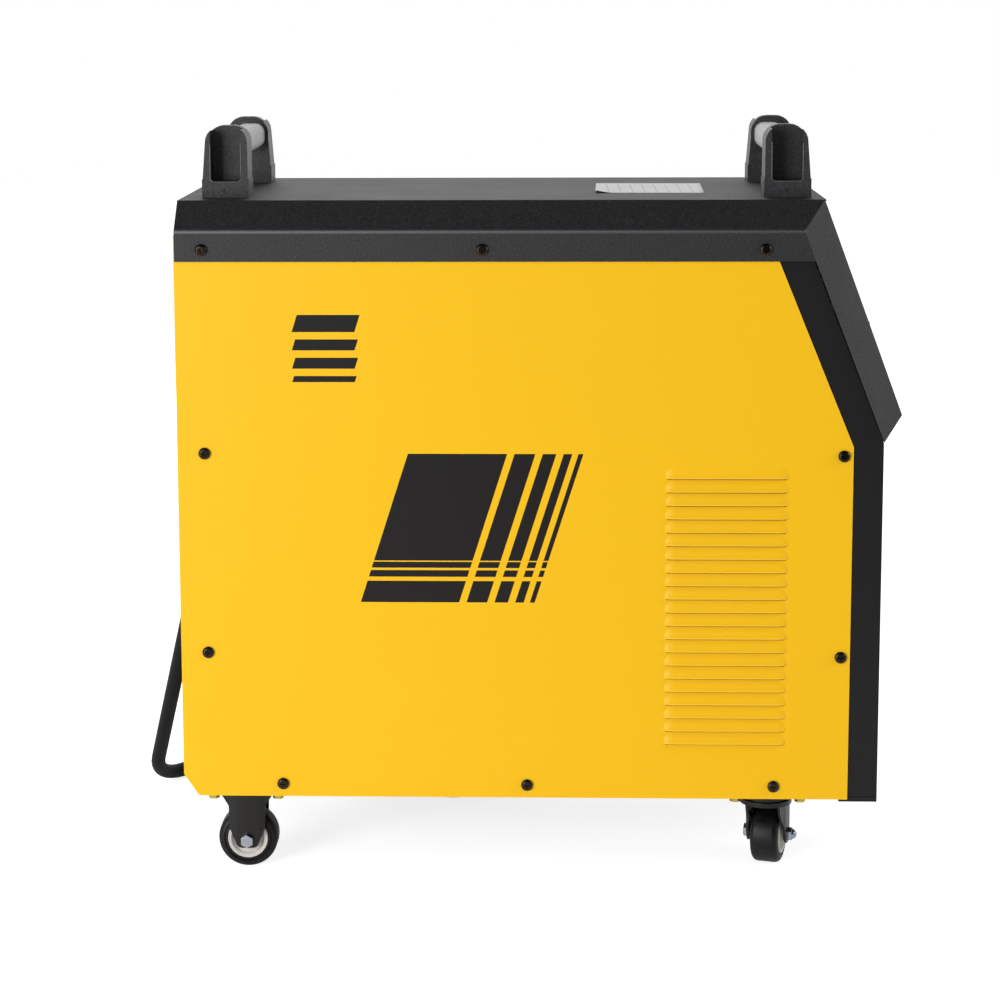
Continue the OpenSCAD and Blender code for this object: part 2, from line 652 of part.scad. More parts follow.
module air_inlet() color("gold") difference() {
    union() {
        bar_x(x_recess - 3, x_recess + 22, inlet_yz[0], inlet_yz[1], 7);
        translate([x_recess - 9, inlet_yz[0], inlet_yz[1]]) rotate([0, 90, 0])
            cylinder(h = 9 - eps, r = 12, $fn = 6);
        bar_x(x_recess - 26, x_recess - 8, inlet_yz[0], inlet_yz[1], 6);
        bar_x(x_recess - 32, x_recess - 26 + eps, inlet_yz[0], inlet_yz[1], 5);
    }
    bar_x(x_recess - 40, x_recess + 30, inlet_yz[0], inlet_yz[1], 3);
}

module earth_stud() color("silver") {
    bar_x(x_recess - 22, x_recess + 8, earth_yz[0], earth_yz[1], 4);
    for (x = [x_recess - 6.5, x_recess + sheet + 0.1]) translate([x, earth_yz[0], earth_yz[1]])
        rotate([0, 90, 0]) cylinder(h = 6.4, r = 7.5, $fn = 6);
}

// Front fittings

module torch_socket() color("goldenrod") difference() {
    union() {
        bar_x(x_connect - 24, x_connect + 17, torch_yz[0], torch_yz[1], 15);
        translate([x_connect + 1.5 + eps, torch_yz[0], torch_yz[1]]) rotate([0, 90, 0])
            cylinder(h = 5, r = 21, $fn = 6);
    }
    bar_x(x_connect - 6, x_connect + 20, torch_yz[0], torch_yz[1], 10);
    bar_x(x_connect - 30, x_connect - 5, torch_yz[0], torch_yz[1], 4);
}

module work_socket() color("#151517") difference() {
    union() {
        bar_x(x_connect - 26, x_connect + 18, work_yz[0], work_yz[1], 17);
        bar_x(x_connect + 1.5 + eps, x_connect + 6, work_yz[0], work_yz[1], 23);
    }
    bar_x(x_connect - 20, x_connect + 20, work_yz[0], work_yz[1], 6.5);
    translate([x_connect - 2, work_yz[0] - 2.2, work_yz[1]]) cube([25, 4.4, 10]);
}

module aux_socket() color("silver") difference() {
    union() {
        bar_x(x_connect - 12, x_connect + 12, aux_yz[0], aux_yz[1], 8);
        translate([x_connect + 1.5 + eps, aux_yz[0], aux_yz[1]]) rotate([0, 90, 0])
            cylinder(h = 3, r = 11, $fn = 6);
    }
    bar_x(x_connect + 2, x_connect + 14, aux_yz[0], aux_yz[1], 6.4);
}

module pressure_gauge() color("silver") difference() {
    union() {
        bar_x(x_connect - 24, x_connect + 6, gauge_yz[0], gauge_yz[1], 20);
        bar_x(x_connect + 1.5 + eps, x_connect + 8, gauge_yz[0], gauge_yz[1], 23);
    }
    bar_x(x_connect + 6, x_connect + 9, gauge_yz[0], gauge_yz[1], 19);
}

module grip_ring(r, h, n, notch) difference() {
    cylinder(h = h, r = r);
    for (a = [0 : 360 / n : 359]) rotate([0, 0, a]) translate([r + notch * 0.4, 0, -1])
        cylinder(h = h - 1.2, r = notch, $fn = 24);
}

module regulator_knob() color("#19191b")
    translate([x_connect + 1.5 + play, regulator_yz[0], regulator_yz[1]]) rotate([0, 90, 0]) difference() {
        grip_ring(17, 20, 16, 1.6);
        translate([0, 0, -1]) cylinder(h = 6.4, r = 11.85);
    }

module current_knob() color("#202023") on_slope(-control_in + play, knob_yw[0], knob_yw[1])
    rotate([0, 90, 0]) {
        difference() {
            grip_ring(18, 13.5, 18, 1.4);
            translate([-16, -0.8, 13]) cube([5, 1.6, 2]);
        }
        translate([0, 0, -12]) cylinder(h = 12 + eps, r = knob_stem_r);
    }

module toggle() rotate([0, 90, 0]) {
    translate([0, 0, 1.5]) sphere(4.5);
    translate([0, 4.2, 1.5]) rotate([90, 0, 0]) cylinder(h = 8.4, r = 2);
    rotate([0, -10, 0]) {
        cylinder(h = 8.5, r1 = 2, r2 = 2.7);
        translate([0, 0, 8.5]) sphere(2.7);
    }
}

module mode_switch() color("silver") on_slope(-control_in + 1, mode_yw[0], mode_yw[1]) toggle();

module test_switch() color("silver") on_slope(-control_in + 1, test_yw[0], test_yw[1]) toggle();

module air_button() color("seagreen") on_slope(-control_in, button_yw[0], button_yw[1]) rotate([0, 90, 0]) {
    translate([0, 0, -3]) cylinder(h = 8.5, r = 7.8);
    translate([0, 0, -4.5]) cylinder(h = 1.5 + eps, r = 9.5);
    translate([0, 0, -16]) cylinder(h = 11.5 + eps, r = 4);
}

// Handles

// Side outline of a post: a foot with upright sides, and a body set in from it that leans outwards
function post_outline(h) = let (w = post_l / 2, r = 13, step = 0.6, top = 3)
    concat([[-w, 0], [w, 0], [w, post_foot], [w - step, post_foot]],
        [for (a = [0 : 15 : 90]) [w - step - 0.2 - r + r * cos(a), h - r + r * sin(a)]],
        [for (a = [90 : 15 : 180]) [-w + top + r + r * cos(a), h - r + r * sin(a)]],
        [[-w + step, post_foot], [-w, post_foot]]);

module handle_post(turned) difference() {
    union() {
        mirror([turned, 0, 0]) translate([0, -post_in - collar, 0]) rotate([90, 0, 0])
            linear_extrude(post_d - collar) polygon(post_outline(post_h));
        translate([2, -post_in, grip_z - z_top]) rotate([90, 0, 0])
            linear_extrude(collar + eps) polygon(round_box(grip_w + 6, grip_h + 6, 11));
    }
    translate([2, -post_in - collar, grip_z - z_top]) rotate([90, 0, 0])
        translate([0, 0, -5]) linear_extrude(10) polygon(round_box(grip_w, grip_h, 8));
    mirror([turned, 0, 0]) translate([0, -post_y + post_pocket, 0]) rotate([90, 0, 0])
        linear_extrude(post_pocket + 5) polygon([[-10.3, 13], [11.2, 13], [13.2, 15],
            [13.2, post_h + 5], [-12.3, post_h + 5], [-12.3, 15]]);
    translate([0, -post_y + 12, -1]) cylinder(h = 20, r = 2.75);
    translate([0, -post_y + 12, 10.4]) cylinder(h = 5, r = 5.2);
    translate([-post_l / 2 - 1, -post_y - 1, post_foot]) cube([post_l + 2, 1.5, post_h]);
    translate([0, -post_y - 1, 6]) rotate([-90, 0, 0]) cylinder(h = 2, r = 1.5);
}

// The two posts of a handle are one moulding, the left one turned half round
module handle_posts(x, flip) translate([x, 0, z_top]) mirror([flip, 0, 0]) {
    handle_post(0);
    mirror([0, 1, 0]) handle_post(1);
}

module handle_grip(x, flip) translate([x, 0, grip_z]) mirror([flip, 0, 0]) translate([2, 0, 0])
    rotate([90, 0, 0]) linear_extrude(2 * (post_in + collar) + 10, center = true)
        polygon(round_box(grip_w - 0.1, grip_h - 0.1, 8));

module rear_handle_posts() color("#2a2a2c") handle_posts(rear_handle_x, 0);

module rear_handle_grip() color("lightgray") handle_grip(rear_handle_x, 0);

module front_handle_posts() color("#2a2a2c") handle_posts(front_handle_x, 1);

module front_handle_grip() color("lightgray") handle_grip(front_handle_x, 1);

// Casters

module caster_bolts() color("khaki") for (x = [rear_x, front_x], sx = [-1, 1], sy = [-1, 1], side = [-1, 1])
    translate([x + sx * bolt_x / 2, side * caster_y + sy * bolt_y / 2, z_base]) {
        translate([0, 0, -plate_t - 1]) cylinder(h = 1 - eps, r = 5);
        translate([0, 0, -plate_t - 4.5]) cylinder(h = 3.5 + eps, r = 4.6, $fn = 6);
        translate([0, 0, -plate_t - 4.9]) cylinder(h = plate_t + 9.9, r = 2.5);
        translate([0, 0, 1.5]) cylinder(h = 3, r = 4.6, $fn = 6);
    }

// Top plate of a caster, with its four bolt holes
module caster_plate() difference() {
    translate([-plate_l / 2, -plate_w / 2, -plate_t]) cube([plate_l, plate_w, plate_t]);
    for (sx = [-1, 1], sy = [-1, 1]) translate([sx * bolt_x / 2, sy * bolt_y / 2, -plate_t - 1])
        cylinder(h = plate_t + 2, r = 2.75);
}

// A cheek's outline as [x, z] about the axle, up to the height h and half as wide as w there
function cheek_outline(h, w, shift) = let (left = [[-w + shift, h], [-max(w * 0.8, 15.6) + shift, h - 7],
    [-15.6 + shift * 0.8, h - 13], [-15, 10], [-10.8, 0], [-9.2, -4], [-7, -6.2], [-4, -6.8]])
    concat(left, [[4, -6.8], [7, -6.2], [9.2, -4], [10.8, 0], [15, 10], [15.6 + shift * 0.8, h - 13],
        [max(w * 0.8, 15.6) + shift, h - 7], [w + shift, h]]);

// A pressed cheek at -Y: flat in the middle, with its edges leaning in towards the wheel
module cheek(h, w, shift) intersection() {
    xz_plate(-cheek_in - cheek_t - 1, cheek_t + channel_in + 2) polygon(cheek_outline(h, w, shift));
    translate([min(shift / 2, 4), -cheek_in, -20]) linear_extrude(80) polygon([[-30, channel_in],
        [-15, channel_in], [-9, 0], [9, 0], [15, channel_in], [30, channel_in],
        [30, channel_in - cheek_t], [15, channel_in - cheek_t], [9, -cheek_t], [-9, -cheek_t],
        [-15, channel_in - cheek_t], [-30, channel_in - cheek_t]]);
}

module rear_forks() color("#222224") for (side = [-1, 1])
    translate([rear_x, side * caster_y, 0]) difference() {
        union() {
            translate([0, 0, z_base]) caster_plate();
            translate([0, 0, axle_z]) both_sides() cheek(z_base - plate_t - axle_z + eps, 24, 0);
        }
        translate([0, 20, axle_z]) rotate([90, 0, 0]) cylinder(h = 40, r = axle_r + 0.02);
    }

// An axle bolt along Y through a fork: hex head at +Y, domed nut at -Y
module axle() {
    reach = cheek_in + cheek_t;
    rotate([90, 0, 0]) translate([0, 0, -reach - 2]) cylinder(h = 2 * reach + 4, r = axle_r);
    translate([0, reach + 4, 0]) rotate([90, 30, 0]) cylinder(h = 4 - eps, r = 5.7, $fn = 6);
    translate([0, -reach - eps, 0]) rotate([90, 30, 0]) {
        cylinder(h = 3.2, r = 5.7, $fn = 6);
        translate([0, 0, 2.8]) intersection() {
            cylinder(h = 5, r = 4.3);
            sphere(4.3);
        }
    }
}

module rear_axles() color("silver") {
    translate([rear_x, -caster_y, axle_z]) mirror([0, 1, 0]) axle();
    translate([rear_x, caster_y, axle_z]) axle();
}

// A wheel about the Y axis: soft tread on a pale hub, bored for the axle
module wheel() rotate([90, 0, 0]) rotate_extrude() {
    r = wheel_d / 2;
    w = tyre_w / 2;
    bore = axle_r + axle_play;
    shoulder = 5;
    polygon(concat([[16.4, -w - 0.4], [17, -w + 0.6], [20, -w + 0.3]],
        [for (a = [-90 : 18 : 0]) [r - shoulder + shoulder * cos(a), -w + shoulder * (1 + sin(a))]],
        [for (a = [0 : 18 : 90]) [r - shoulder + shoulder * cos(a), w - shoulder * (1 - sin(a))]],
        [[20, w - 0.3], [17, w - 0.6], [16.4, w + 0.4], [14.5, w + 0.4], [13, w - 3], [8, w - 3], [7, w + 2],
            [bore, w + 2], [bore, -w - 2], [7, -w - 2], [8, -w + 3], [13, -w + 3], [14.5, -w - 0.4]]));
}

module rear_wheel_right() color("#111113") translate([rear_x, -caster_y, axle_z]) wheel();

module rear_wheel_left() color("#111113") translate([rear_x, caster_y, axle_z]) wheel();

module swivel_plates() color("#222224") for (side = [-1, 1])
    translate([front_x, side * caster_y, 0]) {
        translate([0, 0, z_base]) caster_plate();
        translate([0, 0, raceway_z]) cylinder(h = z_base - plate_t - raceway_z + eps, r = 20);
        translate([0, 0, raceway_z - crown_t - 2 * play]) cylinder(h = crown_t + 2 * play + eps, r = 5);
        translate([0, 0, raceway_z - crown_t - 2 * play - 2.5]) cylinder(h = 2.5 + eps, r = 8);
    }

// A swivelling caster's own frame: Z up the swivel axis, the wheel behind at -X
module on_swivel(side, turn) translate([front_x, side * caster_y, 0]) rotate([0, 0, turn]) children();

module swivel_fork() color("#222224") difference() {
    union() {
        translate([0, 0, crown_z - crown_t]) cylinder(h = crown_t, r = 22);
        translate([-22, -cheek_in - cheek_t, crown_z - crown_t])
            cube([22, 2 * (cheek_in + cheek_t), crown_t]);
        translate([-trail, 0, axle_z]) both_sides() cheek(crown_z - axle_z, 18, 12);
    }
    translate([0, 0, crown_z - crown_t - 1]) cylinder(h = crown_t + 2, r = 5.05);
    translate([-trail, 20, axle_z]) rotate([90, 0, 0]) cylinder(h = 40, r = axle_r + 0.02);
}

module swivel_fork_right() on_swivel(-1, swivel_right) swivel_fork();

module swivel_fork_left() on_swivel(1, swivel_left) swivel_fork();

module front_axle_right() color("silver") on_swivel(-1, swivel_right)
    translate([-trail, 0, axle_z]) mirror([0, 1, 0]) axle();

module front_axle_left() color("silver") on_swivel(1, swivel_left)
    translate([-trail, 0, axle_z]) axle();

module front_wheel_right() color("#111113") on_swivel(-1, swivel_right)
    translate([-trail, 0, axle_z]) wheel();

module front_wheel_left() color("#111113") on_swivel(1, swivel_left)
    translate([-trail, 0, axle_z]) wheel();

base_tray();
rear_panel();
side_panel_right();
side_panel_left();
top_cover();
front_panel();
connector_panel();
control_panel();
display_window();
panel_screws();
fan_screws();
handle_screws();
inner_shelf();
transformer_core();
transformer_winding();
heat_sinks();
inverter_board();
capacitor_bank();
control_board();
gas_valve();
air_regulator();
air_hose();
fan_frame();
fan_rotor();
fan_grille();
breaker();
breaker_lever();
cable_entry();
cord_gland();
strain_relief();
mains_cord();
cord_coil();
mains_plug();
air_inlet();
earth_stud();
torch_socket();
work_socket();
aux_socket();
pressure_gauge();
regulator_knob();
current_knob();
mode_switch();
test_switch();
air_button();
rear_handle_posts();
rear_handle_grip();
front_handle_posts();
front_handle_grip();
caster_bolts();
rear_forks();
rear_axles();
rear_wheel_right();
rear_wheel_left();
swivel_plates();
swivel_fork_right();
swivel_fork_left();
front_axle_right();
front_axle_left();
front_wheel_right();
front_wheel_left();
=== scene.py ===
"""Plasma cutter unit: a yellow and charcoal steel case on casters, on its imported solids."""
import json
import math

import bmesh
import bpy
from mathutils import Matrix, Vector


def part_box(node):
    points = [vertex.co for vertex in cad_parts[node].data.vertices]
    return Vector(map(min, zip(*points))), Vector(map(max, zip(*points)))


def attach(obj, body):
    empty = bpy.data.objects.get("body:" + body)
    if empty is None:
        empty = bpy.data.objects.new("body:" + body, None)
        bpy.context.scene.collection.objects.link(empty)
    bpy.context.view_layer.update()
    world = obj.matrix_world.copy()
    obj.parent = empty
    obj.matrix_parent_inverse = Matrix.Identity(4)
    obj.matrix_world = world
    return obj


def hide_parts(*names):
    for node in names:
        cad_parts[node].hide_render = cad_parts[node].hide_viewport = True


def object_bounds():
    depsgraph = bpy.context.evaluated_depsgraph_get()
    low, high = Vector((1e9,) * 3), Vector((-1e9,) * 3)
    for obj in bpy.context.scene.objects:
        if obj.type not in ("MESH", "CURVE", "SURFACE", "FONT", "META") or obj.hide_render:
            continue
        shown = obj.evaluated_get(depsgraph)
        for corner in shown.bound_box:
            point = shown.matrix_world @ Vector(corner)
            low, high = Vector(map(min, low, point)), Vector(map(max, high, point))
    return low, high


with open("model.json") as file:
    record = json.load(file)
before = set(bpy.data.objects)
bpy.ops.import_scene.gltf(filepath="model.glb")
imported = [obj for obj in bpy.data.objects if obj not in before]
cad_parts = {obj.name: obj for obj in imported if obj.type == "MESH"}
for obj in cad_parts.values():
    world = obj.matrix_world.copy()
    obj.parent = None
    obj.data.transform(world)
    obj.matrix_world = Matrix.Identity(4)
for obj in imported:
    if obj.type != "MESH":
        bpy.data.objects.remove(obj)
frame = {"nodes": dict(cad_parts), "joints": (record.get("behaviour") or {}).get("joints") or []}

cad_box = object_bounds()
scene = bpy.context.scene

# ---------------------------------------------------------------- camera
# The machine is seen from its right side, from a little above its top and
# close to its middle, through a long lens.

eye = Vector((0.007, -2.1846, 0.7276))
turn, tilt, lean = math.radians(-1.993), math.radians(8.669), math.radians(0.242)
ahead = Vector((math.sin(turn) * math.cos(tilt), math.cos(turn) * math.cos(tilt), -math.sin(tilt)))
level = Vector((math.cos(turn), -math.sin(turn), 0))
under = ahead.cross(level)
right = math.cos(lean) * level + math.sin(lean) * under
down = -math.sin(lean) * level + math.cos(lean) * under

lens = bpy.data.cameras.new("camera")
lens.sensor_width = 36
lens.lens = 91.3
lens.shift_x = 0.039
lens.shift_y = -0.116
camera = bpy.data.objects.new("camera", lens)
scene.collection.objects.link(camera)
facing = Matrix((right, -down, -ahead)).transposed().to_4x4()
camera.matrix_world = Matrix.Translation(eye) @ facing
scene.camera = camera

# ------------------------------------------------------------ mains lead
# A round rubber-sheathed lead, 13 mm thick. It leaves the gland at the back,
# slants down behind the case to the floor, and runs along the left side into
# a flat coil of five turns and an industrial plug.

mm = 0.001
lead_d = 13 * mm
coil_x, coil_y = -80 * mm, 149 * mm
coil_mid = 72 * mm
lead_y = coil_y + coil_mid + lead_d
lead_z = lead_d / 2
lead_exit = Vector((-0.283, -0.098, 0.261))
lead_corners = [Vector((-0.290, -0.098, 0.244)), Vector((-0.361, 0.094, lead_z)),
                Vector((-0.250, lead_y, lead_z))]
plug_r = 27.5 * mm
tail_route = [Vector((x * mm, lead_y, z * mm)) for x, z in
              ((-62, 21.1), (-46, 23), (-36, 24.5), (-25, 26.5), (-14, 27.5), (-5, 27.5))]
gland_bend_r, floor_bend_r, coil_bend_r = 52 * mm, 53 * mm, 100 * mm


def bend(a, b, c, r, n):
    """Points of the bend of radius r that rounds the corner b between a and c."""
    u, v = (a - b).normalized(), (c - b).normalized()
    half = u.angle(v) / 2
    middle = b + (u + v).normalized() * r / math.sin(half)
    out = (b + u * r / math.tan(half) - middle).normalized()
    turns = [(math.pi - 2 * half) * i / n for i in range(n + 1)]
    return [middle + r * (math.cos(t) * out - math.sin(t) * u) for t in turns]


def straight(a, b, n):
    """Points between a and b that divide the way into n equal steps."""
    return [a.lerp(b, i / n) for i in range(1, n)]


coil_start = Vector((coil_x, lead_y, lead_z))
first_bend = bend(lead_exit, lead_corners[0], lead_corners[1], gland_bend_r, 4)
floor_bend = bend(lead_corners[0], lead_corners[1], lead_corners[2], floor_bend_r, 8)
last_bend = bend(lead_corners[1], lead_corners[2], coil_start, coil_bend_r, 5)
lead_route = [lead_exit] + first_bend + straight(first_bend[-1], floor_bend[0], 6)
lead_route += floor_bend + straight(floor_bend[-1], last_bend[0], 4)
lead_route += last_bend + straight(last_bend[-1], coil_start, 3)

coil_turns = 5
coil_steps = 24
# The stretches, counted in turns, where the lead moves one column in, one
# layer up and one column out
moves_in = [(0.70, 0.98), (1.40, 1.68)]
move_up = (2.30, 2.55)
moves_out = [(3.20, 3.48), (4.17, 4.45)]


def eased(t, start, end):
    """0 before start, 1 after end, and smooth between them."""
    t = min(1, max(0, (t - start) / (end - start)))
    return t * t * (3 - 2 * t)


def coil_point(t):
    """The coil's centreline after t turns, clockwise from its +Y side."""
    column = sum(eased(t, *m) for m in moves_in) - sum(eased(t, *m) for m in moves_out)
    r = coil_mid + (1 - column) * lead_d
    a = math.radians(90) - t * math.tau
    layer = 0.5 + eased(t, *move_up)
    return Vector((coil_x + r * math.cos(a), coil_y + r * math.sin(a), lead_d * layer))


coil = [coil_point(i / coil_steps) for i in range(coil_turns * coil_steps + 1)]
lead_points = lead_route + coil + tail_route


class Field:
    """A value that varies over a surface. Arithmetic on it adds the shader's Math nodes."""

    def __init__(self, wiring, socket):
        self.wiring = wiring
        self.socket = socket

    def math(self, operation, *values):
        return self.wiring.node("ShaderNodeMath", {"operation": operation}, dict(enumerate(values)))

    def __add__(self, other):
        return self.math("ADD", self, other)

    def __mul__(self, other):
        return self.math("MULTIPLY", self, other)

    def __sub__(self, other):
        return self.math("SUBTRACT", self, other)

    def __rsub__(self, other):
        return self.math("SUBTRACT", other, self)

    def __lt__(self, edge):
        return self.math("LESS_THAN", self, edge)

    def __gt__(self, edge):
        return self.math("GREATER_THAN", self, edge)

    def within(self, low, high):
        """1 between two values, and 0 outside them."""
        return (self > low) * (self < high)

    def clamped(self):
        """The same value, kept between 0 and 1."""
        return self.math("MINIMUM", self.math("MAXIMUM", self, 0), 1)

    def fract(self):
        """What is left of the value above the whole number under it."""
        return self.math("FRACT", self)

    def wave(self):
        """A sine that runs from 0 to 1, once for each step of 1 in the value."""
        turns = self * math.tau
        return turns.math("SINE", turns) * 0.5 + 0.5

    __radd__ = __add__
    __rmul__ = __mul__


class Wiring:
    """The nodes of one material, or of the sky."""

    def __init__(self, tree):
        self.tree = tree

    def join(self, value, socket):
        if isinstance(value, Field):
            self.tree.links.new(value.socket, socket)
        elif socket.type == "RGBA":
            socket.default_value = (*value, 1)
        else:
            socket.default_value = value

    def node(self, kind, settings=(), sockets=(), output=0):
        """Adds a node of any type: its settings first, then values or links for its sockets."""
        made = self.tree.nodes.new(kind)
        for name, value in dict(settings).items():
            setattr(made, name, value)
        for name, value in dict(sockets).items():
            self.join(value, made.inputs[name])
        return Field(self, made.outputs[output])


class Finish(Wiring):
    """A surface finish: one Principled shader, with values or fields behind its sockets."""

    def __init__(self, name, colour, roughness, **others):
        self.material = bpy.data.materials.new(name)
        self.material.use_nodes = True
        super().__init__(self.material.node_tree)
        self.shader = self.tree.nodes["Principled BSDF"]
        self.feed({"Base Color": colour, "Roughness": roughness})
        self.feed({socket.replace("_", " "): value for socket, value in others.items()})

    def feed(self, sockets):
        """Sets the shader's own sockets."""
        for name, value in sockets.items():
            self.join(value, self.shader.inputs[name])

    def place(self, scale=(1, 1, 1)):
        """Where on the piece a point is, in metres, stretched by scale."""
        here = self.node("ShaderNodeTexCoord", output="Object")
        return self.node("ShaderNodeMapping", {}, {"Vector": here, "Scale": scale})

    def xyz(self):
        """The three coordinates of a point on the piece, in metres."""
        parts = self.node("ShaderNodeSeparateXYZ", {}, {0: self.place()}).socket.node
        return [Field(self, socket) for socket in parts.outputs]

    def grain(self, size, detail=2, scale=(1, 1, 1)):
        """Noise from 0 to 1, with blotches about size metres wide."""
        return self.node("ShaderNodeTexNoise", {},
                         {"Vector": self.place(scale), "Scale": 1 / size, "Detail": detail})

    def blend(self, mask, low, high):
        """The colour low where mask is 0, and high where it is 1."""
        return self.node("ShaderNodeMix", {"data_type": "RGBA"},
                         {0: mask, 6: low, 7: high}, output=2)

    def relief(self, height, depth):
        """A bump in which a height of 1 stands for depth metres."""
        bump = self.node("ShaderNodeBump", {}, {"Height": height, "Distance": depth})
        self.feed({"Normal": bump})


def tint(r, g, b):
    """A colour as it is seen, from 0 to 255, in the linear form that a shader takes."""
    return tuple(((c / 255 + 0.055) / 1.055) ** 2.4 if c > 10 else c / 3294.6
                 for c in (r, g, b))


def sheath(name, colour):
    """Rubber sheath: fine pores, and dust that shows as paler patches."""
    finish = Finish(name, colour, 0.5, Specular_IOR_Level=0.14)
    dust = finish.grain(0.02, 4)
    finish.feed({"Base Color": finish.blend(dust * 0.04, colour, tint(92, 90, 88)),
                 "Roughness": 0.45 + dust * 0.2})
    finish.relief(finish.grain(0.0012, 3), 0.00008)
    return finish


black_sheath = sheath("black_sheath", tint(12, 12, 13))
lead_curve = bpy.data.curves.new("mains_lead", "CURVE")
lead_curve.dimensions = "3D"
lead_curve.bevel_depth = lead_d / 2
lead_curve.bevel_resolution = 6
spline = lead_curve.splines.new("POLY")
spline.points.add(len(lead_points) - 1)
for point, place in zip(spline.points, lead_points):
    point.co = (*place, 1)
spline.use_smooth = True
mains_lead = bpy.data.objects.new("mains_lead", lead_curve)
scene.collection.objects.link(mains_lead)
lead_curve.materials.append(black_sheath.material)
lead_length = sum((b - a).length for a, b in zip(lead_points, lead_points[1:]))
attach(mains_lead, "chassis")
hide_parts("mains_cord", "cord_coil")

# ----------------------------------------- plug, gland and strain relief
# The plug is a moulded red body with a plain locking ring. The gland is a
# black polyamide nut on the cable entry, and a tapered boot follows it.


def dress(node, finish, edge=0.0004):
    """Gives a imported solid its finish, and eases its edges by edge metres."""
    part = frame["nodes"][node]
    part.data.materials.clear()
    part.data.materials.append(finish.material)
    for attribute in [a for a in part.data.attributes if a.name == "custom_normal"]:
        part.data.attributes.remove(attribute)
    part.data.polygons.foreach_set("use_smooth", [True] * len(part.data.polygons))
    weld = part.modifiers.new("weld", "WELD")
    weld.merge_threshold = 1e-6
    flat = part.modifiers.new("whole_faces", "DECIMATE")
    flat.decimate_type = "DISSOLVE"
    flat.angle_limit = math.radians(0.4)
    if edge:
        bevel = part.modifiers.new("eased_edges", "BEVEL")
        bevel.width = edge
        bevel.segments = 2
        bevel.angle_limit = math.radians(38)
    part.modifiers.new("flat_faces", "WEIGHTED_NORMAL").weight = 100


def moulding(name, colour, roughness=0.45, pores=0.0008, depth=0.00006):
    """Moulded plastic: an even colour with a fine spark-eroded grain."""
    finish = Finish(name, colour, roughness)
    patches = finish.grain(0.015, 3)
    finish.feed({"Roughness": roughness - 0.06 + patches * 0.12})
    finish.relief(finish.grain(pores, 2), depth)
    return finish


shell_red = tint(176, 30, 26)
plug_red = moulding("plug_red", shell_red, 0.38)
# The plug's five pins stand inside its shell, and are nickel plated
pin_foot, pin_ring = 83.2 * mm, 20 * mm
plug_x, plug_y, plug_z = plug_red.xyz()
off_y, off_z = plug_y - lead_y, plug_z - plug_r
pins = (plug_x > pin_foot) * (off_y * off_y + off_z * off_z < pin_ring ** 2)
plug_red.feed({"Base Color": plug_red.blend(pins, shell_red, tint(190, 186, 178)),
               "Metallic": pins})
black_nylon = moulding("black_nylon", tint(22, 22, 23), 0.42)
dress("mains_plug", plug_red, 0.0008)
dress("cord_gland", black_nylon)
dress("strain_relief", black_sheath)

# ------------------------------------------------------------- base tray
# A folded steel tray, coated dark grey, with slots for the cooling air. It
# carries the casters below and the transformer above.


def coating(name, colour, roughness, peel=0.0009, depth=0.00005, speckle=0.0, gloss=0.35):
    """Powder coat: orange peel, soft changes of gloss and, if asked for, pale speckle."""
    finish = Finish(name, colour, roughness, Specular_IOR_Level=gloss)
    patches = finish.grain(0.05, 3)
    skin = finish.grain(peel, 3)
    pale = tuple(min(1, c * 2.2 + 0.02) for c in colour)
    finish.feed({"Base Color": finish.blend(skin * speckle, colour, pale),
                 "Roughness": roughness - 0.05 + patches * 0.1})
    finish.relief(skin, depth)
    return finish


tray_grey = coating("tray_grey", tint(30, 30, 32), 0.5)
dress("base_tray", tray_grey, 0.0003)

# --------------------------------------------------------------- casters
# Four twin-fork casters. The forks are pressed steel with a black coat, and
# the rear pair is fixed while the front pair swivels. Each wheel has a black
# tread moulded on a pale core, and turns on a zinc-plated bolt.


def plating(name, colour, roughness=0.3):
    """Zinc plate: metal with faint drawing lines and clouds of gloss."""
    finish = Finish(name, colour, roughness, Metallic=1.0)
    clouds = finish.grain(0.004, 4)
    pale = tuple(min(1, c * 1.25) for c in colour)
    finish.feed({"Base Color": finish.blend(clouds, colour, pale),
                 "Roughness": roughness - 0.08 + clouds * 0.2})
    finish.relief(finish.grain(0.0006, 2), 0.00002)
    return finish


fork_black = coating("fork_black", tint(11, 11, 11), 0.3, peel=0.0015, depth=0.00006, gloss=0.4)
bright_zinc = plating("bright_zinc", tint(160, 168, 180), 0.24)
yellow_zinc = plating("yellow_zinc", tint(190, 172, 84), 0.34)
for node in ("rear_forks", "swivel_plates", "swivel_fork_right", "swivel_fork_left"):
    dress(node, fork_black, 0.0003)
for node in ("rear_axles", "front_axle_right", "front_axle_left"):
    dress(node, bright_zinc, 0.0003)
dress("caster_bolts", yellow_zinc, 0.0003)

tread_black = Finish("tread_black", tint(10, 10, 10), 0.42, Specular_IOR_Level=0.3)
scuffs = tread_black.grain(0.006, 5)
rubber = tread_black.blend((scuffs > 0.6) * 0.08, tint(10, 10, 10), tint(66, 64, 62))
tread_black.feed({"Base Color": rubber, "Roughness": 0.32 + scuffs * 0.25})
tread_black.relief(tread_black.grain(0.002, 3), 0.00005)
core_white = moulding("core_white", tint(214, 210, 205), 0.35)

